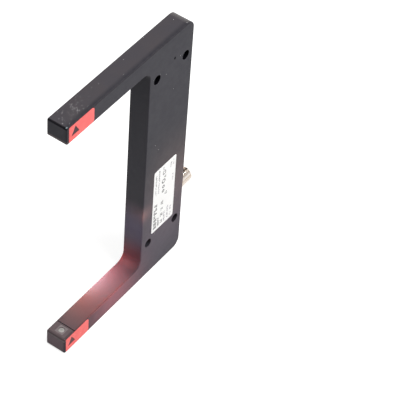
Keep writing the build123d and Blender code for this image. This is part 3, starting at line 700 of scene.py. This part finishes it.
STICKER_FOIL = PrintedFoil("sticker_foil", (0.86, 0.115, 0.110), (0.92, 0.145, 0.135), (0.93, 0.42, 0.38))


def mesh_piece(name: str, shape: Shape, smooth_angle: float = 30.0) -> Thing:
    """Turns a finished bmesh into an object of the scene.

    Args:
        name: the piece's name.
        shape: the bmesh, which is used up.
        smooth_angle: the largest angle between faces, in degrees, that is shaded as one curve.

    Returns:
        The new object.
    """
    bmesh.ops.recalc_face_normals(shape, faces=shape.faces)
    limit = math.radians(smooth_angle)
    for edge in shape.edges:
        edge.smooth = len(edge.link_faces) == 2 and edge.calc_face_angle() < limit
    for face in shape.faces:
        face.smooth = True
    mesh = bpy.data.meshes.new(name)
    shape.to_mesh(mesh)
    shape.free()
    piece = bpy.data.objects.new(name, mesh)
    bpy.context.scene.collection.objects.link(piece)
    return piece


def circle(radius: float, count: int, start: float = 0.0) -> list[Pair]:
    """Offsets of points in equal steps round a circle, from an angle in radians."""
    turns = [start + 2 * math.pi * number / count for number in range(count)]
    return [(radius * math.cos(turn), radius * math.sin(turn)) for turn in turns]


def add_band(shape: Shape, first: Loop, second: Loop) -> None:
    """Joins two closed loops of as many points with a band of faces.

    Args:
        shape: the bmesh that holds them.
        first: one loop.
        second: the other loop.
    """
    for number, corner in enumerate(first):
        after = (number + 1) % len(first)
        shape.faces.new((corner, first[after], second[after], second[number]))


def add_turned(
    shape: Shape,
    profile: Sequence[Pair],
    centre: Pair,
    segments: int,
    radius_at: Callable[[float, float, float], float] | None = None,
) -> None:
    """Adds a ring turned round an axis along X.

    Args:
        shape: the bmesh that takes it.
        profile: the closed section as pairs of place along the axis and radius.
        centre: the axis, as Y and Z.
        segments: the steps round it.
        radius_at: gives the radius from place, radius and angle where it isn't round.
    """
    rings = []
    for step in range(segments):
        angle = 2 * math.pi * step / segments
        ring = []
        for along, radius in profile:
            if radius_at:
                radius = radius_at(along, radius, angle)
            y, z = radius * math.cos(angle), radius * math.sin(angle)
            ring.append(shape.verts.new((along, centre[0] + y, centre[1] + z)))
        rings.append(ring)
    for ring, following in zip(rings, rings[1:] + rings[:1]):
        add_band(shape, ring, following)


def add_block(shape: Shape, low: Point, high: Point, bevel: float = 0.0) -> None:
    """Adds a closed block.

    Args:
        shape: the bmesh that takes it.
        low: its lowest corner.
        high: its highest corner.
        bevel: how far its edges are cut back, in metres.
    """
    xs, ys, zs = zip(low, high)
    verts = [shape.verts.new((x, y, z)) for z in zs for y in ys for x in xs]
    sides = ((0, 2, 3, 1), (4, 5, 7, 6), (0, 1, 5, 4), (2, 6, 7, 3), (0, 4, 6, 2), (1, 3, 7, 5))
    faces = [shape.faces.new([verts[number] for number in side]) for side in sides]
    if bevel:
        edges = list({edge for face in faces for edge in face.edges})
        bmesh.ops.bevel(shape, geom=edges, offset=bevel, segments=2, profile=0.6, affect="EDGES")


@dataclass
class SubAssembly:
    """What every sub-assembly does with the frame's nodes."""

    nodes: dict[str, Thing]

    def dress(self, finish: Finish, *names: str) -> None:
        """Gives CAD nodes their finish.

        Args:
            finish: what they get.
            names: the nodes.
        """
        material = mixed(finish)
        for name in names:
            for slot in self.nodes[name].material_slots:
                slot.material = material
            LOG.info("dressed %s in %s", name, material.name)

    def join(self, piece: Thing, finish: Finish, slot: str, *replaced: str) -> None:
        """Makes a new piece part of the object.

        Args:
            piece: the piece, already in place.
            finish: what it is dressed in.
            slot: the name of a material slot, which is not used.
            replaced: the CAD nodes that it stands for.
        """
        piece.data.materials.append(mixed(finish))
        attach(piece, BODY)
        if replaced:
            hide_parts(*replaced)
        LOG.info("built %s with %d faces", piece.name, len(piece.data.polygons))


@dataclass
class Casing(SubAssembly):
    """The casting, its cover plate and the seal between them."""

    def build(self) -> None:
        """Dresses the casing."""
        self.dress(CAST_PAINT, "housing", "cover")
        self.dress(SEAL_RUBBER, "cover_seal")


@dataclass
class Optics(SubAssembly):
    """Windows, lenses, panes and what sits behind them in the arms."""

    pocket: Pair = (0.0046, 0.0044)
    pocket_depth: float = 0.00025
    pane_inset: float = 0.00005
    pane_thickness: float = 0.00018
    hole_radius: float = 0.00145
    steps_per_side: int = 16

    def build(self) -> None:
        """Dresses the windows and what is behind them, and builds both panes."""
        self.dress(WINDOW_PLASTIC, "lower_window", "upper_window")
        self.dress(LENS_GLASS, "lower_lens", "upper_lens")
        self.dress(HOLDER_PLASTIC, "receiver_holder", "emitter_holder")
        self.dress(CHIP_PLASTIC, "receiver")
        self.dress(EMITTER_RESIN, "emitter")
        for arm in Arm:
            self.join(self.pane(arm), PANE_PLASTIC, "window_plastic")

    def pane(self, arm: Arm) -> Thing:
        """The square pane in a window's pocket, with a round hole for the lens.

        Args:
            arm: the arm that it belongs to.

        Returns:
            The pane.
        """
        side = arm.name.lower()
        lens_low, lens_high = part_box(f"{side}_lens")
        window_low, window_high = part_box(f"{side}_window")
        middle = (lens_low + lens_high) / 2
        face = window_high.z if arm is Arm.LOWER else window_low.z
        floor = face + arm.value * self.pocket_depth
        half_x, half_y = (size / 2 - self.pane_inset for size in self.pocket)
        corners = ((half_x, half_y), (-half_x, half_y), (-half_x, -half_y), (half_x, -half_y))
        square = []
        for start, end in zip(corners, corners[1:] + corners[:1]):
            for step in range(self.steps_per_side):
                share = step / self.steps_per_side
                square.append(tuple(a + (b - a) * share for a, b in zip(start, end)))
        hole = circle(self.hole_radius, len(square), math.pi / 4)
        shape = bmesh.new()
        floor_square, floor_hole, top_square, top_hole = (
            [shape.verts.new((middle.x + x, middle.y + y, z)) for x, y in outline]
            for z in (floor, floor - arm.value * self.pane_thickness)
            for outline in (square, hole)
        )
        add_band(shape, floor_square, floor_hole)
        add_band(shape, top_hole, top_square)
        add_band(shape, floor_hole, top_hole)
        add_band(shape, top_square, floor_square)
        return mesh_piece(f"{side}_pane", shape)


@dataclass
class Plug(SubAssembly):
    """The threaded sleeve behind the spine, its insulator, pins and solder joints."""

    thread_pitch: float = 0.001
    thread_depth: float = 0.00056
    thread_slope: float = 1.25
    thread_crest: float = 0.12
    thread_run_in: float = 0.0003
    lead_in: float = 0.0006
    steps_per_turn: int = 8
    steps_round: int = 120
    end_chamfer: float = 0.0005
    mouth_chamfer: float = 0.0002
    relief_length: float = 0.0011
    relief_radius: float = 0.0033
    shank_radius: float = 0.0032
    bore_radius: float = 0.00212
    socket_radius: float = 0.00295
    socket_depth: float = 0.006
    groove_from: float = 0.0026
    groove_to: float = 0.0018
    groove_radius: float = 0.0027
    key_width: float = 0.0008
    key_height: float = 0.00045
    key_length: float = 0.0045
    key_bevel: float = 0.00012
    key_sunk: Pair = (0.0001, 0.00005)
    solder_radius: Pair = (0.00095, 0.00056)
    solder_height: float = 0.00045
    solder_lip: float = 0.00003
    solder_steps: int = 6
    solder_steps_round: int = 48
    solder_hollow: float = 2.2
    smooth_angle: float = 40.0

    def build(self) -> None:
        """Builds the sleeve, its key and the solder joints, and dresses the rest."""
        self.dress(INSULATOR_PLASTIC, "connector_insulator")
        self.dress(PIN_GOLD, "contact_pin_1", "contact_pin_2", "contact_pin_3")
        self.dress(SEAL_RUBBER, "connector_seal")
        self.join(self.sleeve(), PLUG_METAL, "plug_metal", "connector_sleeve")
        self.join(self.key(), INSULATOR_PLASTIC, "insulator_plastic")
        self.join(self.solder(), SOLDER, "pin_gold")

    def centre(self, node: str) -> Pair:
        """A node's middle as Y and Z."""
        low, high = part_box(node)
        return (low.y + high.y) / 2, (low.z + high.z) / 2

    def sleeve(self) -> Thing:
        """The turned sleeve with its thread, shank and socket.

        Returns:
            The sleeve.
        """
        low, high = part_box("connector_sleeve")
        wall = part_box("housing")[1].x
        outer = (high.z - low.z) / 2
        start = wall + self.relief_length
        length = high.x - start
        steps = round(length / self.thread_pitch * self.steps_per_turn)
        places = [start + length * step / steps for step in range(steps + 1)]
        profile = [
            (low.x, self.bore_radius),
            (low.x, self.shank_radius),
            (wall - self.groove_from, self.shank_radius),
            (wall - self.groove_from, self.groove_radius),
            (wall - self.groove_to, self.groove_radius),
            (wall - self.groove_to, self.shank_radius),
            (wall, self.shank_radius),
            (wall, self.relief_radius),
            (start - self.thread_run_in, self.relief_radius),
            *((along, outer - max(0.0, along - (high.x - self.end_chamfer))) for along in places),
            (high.x, self.socket_radius + self.mouth_chamfer),
            (high.x - self.mouth_chamfer, self.socket_radius),
            (high.x - self.socket_depth, self.socket_radius),
            (high.x - self.socket_depth, self.bore_radius),
        ]

        def cut(along: float, radius: float, angle: float) -> float:
            """The radius with the thread cut into it, where the profile stands out past the relief."""
            if radius <= self.relief_radius:
                return radius
            turn = ((along - start) / self.thread_pitch - angle / (2 * math.pi)) % 1.0
            flank = self.thread_slope * (1 - abs(2 * turn - 1)) - self.thread_crest
            fade = min(1.0, (along - start + self.thread_run_in) / self.lead_in)
            return min(radius, outer - self.thread_depth * min(1.0, max(0.0, flank)) * fade)

        shape = bmesh.new()
        add_turned(shape, profile, self.centre("connector_sleeve"), self.steps_round, cut)
        return mesh_piece("plug_sleeve", shape, self.smooth_angle)

    def key(self) -> Thing:
        """The nose on the socket's wall that lets the mating plug in one way only."""
        y, z = self.centre("connector_sleeve")
        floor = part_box("connector_insulator")[1].x
        foot = z - self.socket_radius
        low = (floor - self.key_sunk[0], y - self.key_width / 2, foot - self.key_sunk[1])
        high = (floor + self.key_length, y + self.key_width / 2, foot + self.key_height)
        shape = bmesh.new()
        add_block(shape, low, high, self.key_bevel)
        return mesh_piece("plug_key", shape)

    def solder(self) -> Thing:
        """The cones of solder round the pins, on the terminal board."""
        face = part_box("terminal_board")[1].x
        foot, top = self.solder_radius
        shape = bmesh.new()
        for pin in ("contact_pin_1", "contact_pin_2", "contact_pin_3"):
            low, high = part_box(pin)
            radius = (high.z - low.z) / 2
            profile = [(face, radius)]
            for step in range(self.solder_steps):
                share = step / self.solder_steps
                reach = top + (foot - top) * (1 - share) ** self.solder_hollow
                profile.append((face + self.solder_height * share, reach))
            head = face + self.solder_height
            profile += [(head, radius + self.solder_lip), (head, radius)]
            add_turned(shape, profile, self.centre(pin), self.solder_steps_round)
        return mesh_piece("pin_solder", shape)


@dataclass
class Label(SubAssembly):
    """The white label with its generic print, and the two red arrow stickers."""

    ink_proud: float = 0.000006
    ink_sunk: float = 0.000004
    bold_column: Pair = (-0.0069, -0.0046)
    bold_rows: tuple[float, float, int] = (-0.0442, 0.0023, 7)
    bold_length: float = 0.0018
    bold_stroke: tuple[Pair, Pair] = ((0.00045, 0.00075), (0.0002, 0.0004))
    middle_words: tuple[Word, ...] = (
        (-0.0038, -0.0026, -0.0442, -0.0388),
        (-0.0019, -0.0001, -0.0438, -0.0420),
        (-0.0019, -0.0001, -0.0398, -0.0373),
        (-0.0019, -0.0001, -0.0357, -0.0341),
        (-0.0019, -0.0001, -0.0321, -0.0297),
        (-0.0067, -0.0058, -0.0180, -0.0100),
        (-0.0046, -0.0037, -0.0156, -0.0084),
        (-0.0014, -0.0004, -0.0105, -0.0084),
    )
    fine_words: tuple[Word, ...] = (
        (0.0006, 0.0017, -0.0442, -0.0380),
        (0.0029, 0.0041, -0.0442, -0.0362),
        (0.0052, 0.0064, -0.0442, -0.0422),
        (0.0052, 0.0064, -0.0404, -0.0380),
        (-0.0067, -0.0058, -0.0226, -0.0182),
        (-0.0046, -0.0037, -0.0226, -0.0160),
        (0.0040, 0.0050, -0.0124, -0.0090),
        (0.0058, 0.0066, -0.0220, -0.0175),
        (0.0058, 0.0066, -0.0122, -0.0088),
    )
    word_stroke: tuple[Pair, Pair] = ((0.0002, 0.0004), (0.0001, 0.0003))
    signs: tuple[tuple[PlainSign, float, float, float], ...] = (
        (PlainSign.BOX, -0.0005, -0.0120, 0.0015),
        (PlainSign.WEDGE, 0.0003, -0.0149, 0.0010),
        (PlainSign.RING, -0.0007, -0.0173, 0.0013),
        (PlainSign.RING, -0.0006, -0.0208, 0.0009),
        (PlainSign.RING, -0.0007, -0.0235, 0.0009),
        (PlainSign.WEDGE, 0.0016, -0.0263, 0.0012),
    )
    sign_stroke: float = 0.0005
    seed: int = 7

    def build(self) -> None:
        """Dresses the foils and prints the label."""
        self.dress(LABEL_FOIL, "label")
        self.dress(STICKER_FOIL, "lower_arrow_sticker", "upper_arrow_sticker")
        start, pitch, count = self.bold_rows
        rows = [start + pitch * number for number in range(count)]
        bold_words = [(*self.bold_column, low, low + self.bold_length) for low in rows]
        for name, places, rhythm, ink in (
            ("label_bold_print", bold_words, self.bold_stroke, PRINT_INK),
            ("label_middle_print", self.middle_words, self.word_stroke, PRINT_INK),
            ("label_fine_print", self.fine_words, self.word_stroke, FINE_INK),
        ):
            self.join(self.words(name, places, rhythm), ink, "label_foil")
        self.join(self.plain_signs(), PRINT_INK, "label_foil")

    def ink_depth(self) -> Pair:
        """The front and back of the ink, as two depths along Y."""
        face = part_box("label")[0].y
        return face - self.ink_proud, face + self.ink_sunk

    def words(self, name: str, places: Iterable[Word], rhythm: tuple[Pair, Pair]) -> Thing:
        """Prints blocks of strokes of random length and side, which spell nothing.

        Args:
            name: the piece's name.
            places: each block's left, right, start and end.
            rhythm: the shortest and longest stroke, and the same of the gaps.

        Returns:
            The print.
        """
        front, back = self.ink_depth()
        strokes, gaps = rhythm
        shape = bmesh.new()
        chance = random.Random(self.seed)
        for left, right, start, end in places:
            middle = (left + right) / 2
            sides = ((left, right), (left, right), (left, middle), (middle, right))
            along = start
            while along < end:
                top = min(along + chance.uniform(*strokes), end)
                low_x, high_x = chance.choice(sides)
                add_block(shape, (low_x, front, along), (high_x, back, top))
                along = top + chance.uniform(*gaps)
        return mesh_piece(name, shape)

    def plain_signs(self) -> Thing:
        """The row of plain outlines in the label's upper half."""
        shape = bmesh.new()
        for sign, x, z, radius in self.signs:
            half_step = math.pi / sign.value
            outer_front, inner_front, outer_back, inner_back = (
                [shape.verts.new((x + a, depth, z + b)) for a, b in circle(reach, sign.value, half_step)]
                for depth in self.ink_depth()
                for reach in (radius, radius - self.sign_stroke)
            )
            ring = (outer_front, inner_front, inner_back, outer_back, outer_front)
            for first, second in zip(ring, ring[1:]):
                add_band(shape, first, second)
        return mesh_piece("label_signs", shape)


@dataclass
class Dust(SubAssembly):
    """Loose dust on the paint: flat grains on the upper arm and the front face."""

    top_grains: tuple[Point, ...] = (
        (0.0086, 0.0013, 0.00014), (0.0106, -0.0041, 0.00012), (0.0110, -0.0043, 0.00010),
        (-0.0082, 0.0042, 0.00010), (-0.0240, 0.0025, 0.00012), (-0.0310, -0.0029, 0.00010),
        (-0.0415, 0.0016, 0.00012), (-0.0451, 0.0023, 0.00012), (-0.0532, 0.0040, 0.00010),
        (-0.0500, 0.0000, 0.00010), (-0.0535, 0.0007, 0.00013), (-0.0554, 0.0013, 0.00014),
        (-0.0578, 0.0024, 0.00019), (-0.0565, 0.0009, 0.00012), (-0.0579, -0.0002, 0.00016),
        (-0.0588, 0.0001, 0.00019), (-0.0566, -0.0027, 0.00010), (-0.0598, 0.0003, 0.00016),
        (-0.0590, -0.0016, 0.00024), (-0.0585, -0.0022, 0.00016), (-0.0643, 0.0042, 0.00012),
        (-0.0636, 0.0023, 0.00013), (-0.0617, -0.0017, 0.00013), (-0.0627, -0.0015, 0.00010),
        (-0.0666, -0.0002, 0.00016), (-0.0684, -0.0016, 0.00016), (-0.0667, -0.0037, 0.00012),
    )
    front_grains: tuple[Point, ...] = (
        (0.0061, 0.0524, 0.00014), (-0.0079, 0.0516, 0.00007), (-0.0035, 0.0484, 0.00010),
        (-0.0127, 0.0517, 0.00010), (-0.0089, 0.0473, 0.00007), (0.0024, 0.0362, 0.00012),
        (-0.0085, 0.0107, 0.00014), (-0.0061, 0.0064, 0.00016), (-0.0053, -0.0477, 0.00007),
    )
    fine_count: int = 28
    fine_along: Point = (-0.0690, -0.0480, -0.0580)
    fine_across: Point = (-0.0042, 0.0044, 0.0006)
    fine_radius: Pair = (0.00007, 0.00011)
    corner_count: int = 7
    unevenness: Pair = (0.75, 1.25)
    height_share: float = 0.35
    shoulder: Pair = (0.62, 0.7)
    sunk: float = 0.00001
    smooth_angle: float = 60.0
    seed: int = 11

    def build(self) -> None:
        """Lays the grains."""
        low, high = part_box("housing")
        up, forward = Vector((0.0, 0.0, 1.0)), Vector((0.0, -1.0, 0.0))
        shape = bmesh.new()
        chance = random.Random(self.seed)
        for x, y, radius in self.top_grains:
            self.grain(shape, Vector((x, y, high.z)), up, radius, chance)
        for _ in range(self.fine_count):
            x, y = chance.triangular(*self.fine_along), chance.triangular(*self.fine_across)
            self.grain(shape, Vector((x, y, high.z)), up, chance.uniform(*self.fine_radius), chance)
        for x, z, radius in self.front_grains:
            self.grain(shape, Vector((x, low.y, z)), forward, radius, chance)
        self.join(mesh_piece("dust_grains", shape, self.smooth_angle), LOOSE_DUST, "housing")

    def grain(self, shape: Shape, foot: Vector, out: Vector, radius: float, chance: random.Random) -> None:
        """Adds one low, uneven grain that stands on a face.

        Args:
            shape: the bmesh that takes it.
            foot: the middle of its foot, on the face.
            out: the way out of the face.
            radius: its mean radius.
            chance: where its unevenness comes from.
        """
        first = out.orthogonal().normalized()
        second = out.cross(first)
        reaches = [radius * chance.uniform(*self.unevenness) for _ in range(self.corner_count)]
        width, rise = self.shoulder
        height = radius * self.height_share
        loops = []
        for share, lift in ((1.0, -self.sunk), (width, height * rise)):
            loop = []
            for (x, y), reach in zip(circle(1.0, self.corner_count), reaches):
                loop.append(shape.verts.new(foot + (first * x + second * y) * (reach * share) + out * lift))
            loops.append(loop)
        low, high = loops
        crown = shape.verts.new(foot + out * height)
        shape.faces.new(low)
        add_band(shape, low, high)
        for corner, following in zip(high, high[1:] + high[:1]):
            shape.faces.new((corner, following, crown))


@dataclass
class Electronics(SubAssembly):
    """The boards, the ribbons between them and the components."""

    small_chips: tuple[TippedChip, ...] = (
        TippedChip("chip_resistors", (0.03, 0.03, 0.033), step=0.0032, body_length=0.0010),
        TippedChip("chip_capacitors", (0.40, 0.27, 0.15), step=0.0036, body_length=0.0013),
    )

    def build(self) -> None:
        """Dresses the boards and components."""
        self.dress(BOARD_LACQUER, "main_board", "emitter_board", "receiver_board", "terminal_board")
        self.dress(RIBBON_FILM, "upper_ribbon", "lower_ribbon")
        self.dress(SOCKET_PLASTIC, "upper_socket", "lower_socket")
        self.dress(CHIP_PLASTIC, "signal_chip", "voltage_regulator", "output_transistors", "surge_diode")
        self.dress(CAN_METAL, "storage_capacitor")
        self.dress(FERRITE, "choke")
        self.dress(SCREW_STEEL, "board_screws")
        self.dress(LIGHT_RESIN, "status_light")
        self.dress(GUIDE_PLASTIC, "light_guide")
        for chips in self.small_chips:
            low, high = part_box(chips.name)
            self.dress(replace(chips, first_x=(low.x + high.x - chips.step) / 2), chips.name)


@dataclass(frozen=True)
class Lamp:
    """A soft square lamp: side in metres, power in watts, spread in degrees, and what it lights."""

    name: str
    place: Point
    aim: Point
    size: float
    power: float
    colour: Colour = (1.0, 0.99, 0.98)
    spread: float = 180.0
    piece: str = "housing"
    lit: Lit = Lit.ONLY

    def hang(self) -> None:
        """Hangs the lamp, and says what it lights where it names a piece."""
        light = bpy.data.lights.new(self.name, "AREA")
        light.size, light.energy, light.color = self.size, self.power, self.colour
        light.spread = math.radians(self.spread)
        lamp = bpy.data.objects.new(self.name, light)
        lamp.location = self.place
        lamp.rotation_euler = (Vector(self.aim) - Vector(self.place)).to_track_quat("-Z", "Y").to_euler()
        bpy.context.scene.collection.objects.link(lamp)
        if self.piece:
            named = bpy.data.collections.new(f"named_by_{self.name}")
            named.objects.link(bpy.data.objects[self.piece])
            lamp.light_linking.receiver_collection = named
            named.collection_objects[0].light_linking.link_state = self.lit.value
        LOG.info("hung %s", self.name)


KEY_PLACE = (0.10, -0.50, 0.95)
LAMPS_AIM = (-0.02, 0.0, 0.0)


@dataclass
class Studio:
    """The floor, the white surroundings, the lamps and the camera.

    The key lamp lights all but the bright plug's sleeve, which takes a smaller one, so that its
    highlight stays narrow. The small coloured lamps light only the casing.
    """

    floor_z: float = -0.071
    floor_reach: float = 3.0
    floor_colour: Colour = (0.40, 0.40, 0.40)
    floor_second: Colour = (0.394, 0.394, 0.394)
    floor_weave: float = 0.02
    floor_roughness: float = 0.9
    floor_glow: Pair = (0.876, 0.74)
    round_object: Patch = Patch((0.0, 0.0, -0.071), (1.3, 1.3, 1.0), 0.15)
    sky_light: float = 0.31
    lamps: tuple[Lamp, ...] = (
        Lamp("key_light", KEY_PLACE, LAMPS_AIM, 0.6, 16.3, piece="plug_sleeve", lit=Lit.ALL_BUT),
        Lamp("back_light", (-0.05, 0.45, 0.90), LAMPS_AIM, 0.6, 4.3, piece=""),
        Lamp("plug_light", KEY_PLACE, LAMPS_AIM, 0.12, 2.2, piece="plug_sleeve"),
        Lamp(
            "heel_red", (-0.0235, 0.023, -0.052), (-0.027, 0.005, -0.062),
            0.01, 0.0226, (1.0, 0.02, 0.01), 100,
        ),
        Lamp(
            "tip_red", (-0.04, 0.02, -0.046), (-0.043, 0.002, -0.062),
            0.012, 0.0117, (1.0, 0.39, 0.27), 100,
        ),
        Lamp("tip_pale", (-0.034, 0.013, -0.0545), (-0.034, 0.006, -0.062), 0.006, 0.0036, WHITE, 90),
        Lamp("heel_pale", (-0.025, 0.013, -0.0555), (-0.025, 0.005, -0.062), 0.006, 0.0014, WHITE, 90),
        Lamp(
            "front_glow", (-0.034, -0.04, -0.062), (-0.034, -0.005, -0.067),
            0.012, 0.018, (1.0, 0.29, 0.29), 80,
        ),
        Lamp("front_fill", (0.0, -0.08, -0.05), (0.0, -0.005, -0.05), 0.03, 0.01, (1.0, 0.77, 0.84), 60),
        Lamp("warm_fill", (0.026, -0.05, -0.03), (0.012, -0.005, -0.026), 0.02, 0.006, (1.0, 0.64, 0.46), 70),
        Lamp("slot_fill", (-0.05, 0.0, -0.03), (-0.015, 0.0, -0.04), 0.012, 0.0015, (0.84, 0.70, 1.0), 50),
        Lamp(
            "warm_spot", (-0.0195, -0.015, -0.029), (-0.014, -0.005, -0.029),
            0.004, 0.0006, (1.0, 0.45, 0.3), 55,
        ),
        Lamp("end_glow", (-0.105, -0.005, -0.07), (-0.07, 0.0, -0.067), 0.012, 0.0034, (1.0, 0.56, 0.52), 60),
    )
    lens: float = 175.66
    sensor: float = 36.0
    camera_sight: float = 10.0
    camera_place: Point = (-0.49724, -0.33927, 0.59936)
    camera_right: Point = (0.58402, -0.80971, 0.05740)
    camera_up: Point = (0.56452, 0.45595, 0.68806)

    def build(self) -> None:
        """Builds the studio round the finished pieces."""
        self.lay_floor()
        self.whiten_surroundings()
        for lamp in self.lamps:
            lamp.hang()
        self.place_camera()
        bpy.context.scene.view_settings.view_transform = "Standard"

    def lay_floor(self) -> None:
        """Lays the plain white floor."""
        shape = bmesh.new()
        reach = self.floor_reach
        corners = ((-reach, -reach), (reach, -reach), (reach, reach), (-reach, reach))
        shape.faces.new([shape.verts.new((x, y, self.floor_z)) for x, y in corners])
        floor = mesh_piece("floor", shape)
        recipe = Recipe("floor_white")
        weave = recipe.mottle(self.floor_weave, detail=3.0)
        recipe.set("Base Color", recipe.blend(weave, self.floor_colour, self.floor_second))
        recipe.set("Roughness", self.floor_roughness)
        recipe.set("Specular IOR Level", 0.0)
        recipe.set("Emission Color", WHITE)
        glow = recipe.span(recipe.patch(self.round_object), FULL, self.floor_glow)
        recipe.set("Emission Strength", recipe.math("MULTIPLY", recipe.seen_directly(), glow))
        floor.data.materials.append(recipe.material)

    def whiten_surroundings(self) -> None:
        """Makes the world white to look at, and dimmer as a light."""
        world = bpy.data.worlds.new("white_surroundings")
        bpy.context.scene.world = world
        world.use_nodes = True
        nodes = Nodes(world.node_tree)
        background = world.node_tree.nodes["Background"]
        nodes.feed(background, "Color", WHITE)
        nodes.feed(background, "Strength", nodes.span(nodes.seen_directly(), FULL, (self.sky_light, 1.0)))

    def place_camera(self) -> None:
        """Sets the camera at the photograph's viewing angle."""
        data = bpy.data.cameras.new("camera")
        data.lens, data.sensor_width, data.clip_end = self.lens, self.sensor, self.camera_sight
        camera = bpy.data.objects.new("camera", data)
        right, up = Vector(self.camera_right).normalized(), Vector(self.camera_up).normalized()
        back = right.cross(up).normalized()
        turn = Matrix((right, back.cross(right), back)).transposed().to_4x4()
        camera.matrix_world = Matrix.Translation(self.camera_place) @ turn
        bpy.context.scene.collection.objects.link(camera)
        bpy.context.scene.camera = camera


def corners(box: tuple[Vector, Vector]) -> list[list[float]]:
    """Two corners as plain lists of numbers."""
    return [list(corner) for corner in box]


def main() -> None:
    """Loads the frame, builds every sub-assembly in order, and lights it."""
    logging.basicConfig(level=logging.INFO, format="%(name)s: %(message)s")
    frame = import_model()
    nodes = frame["nodes"]
    for part in (Casing, Optics, Plug, Label, Dust, Electronics):
        part(nodes).build()
        LOG.info("finished %s", part.__name__)
    Studio().build()


if __name__ == "__main__":
    main()
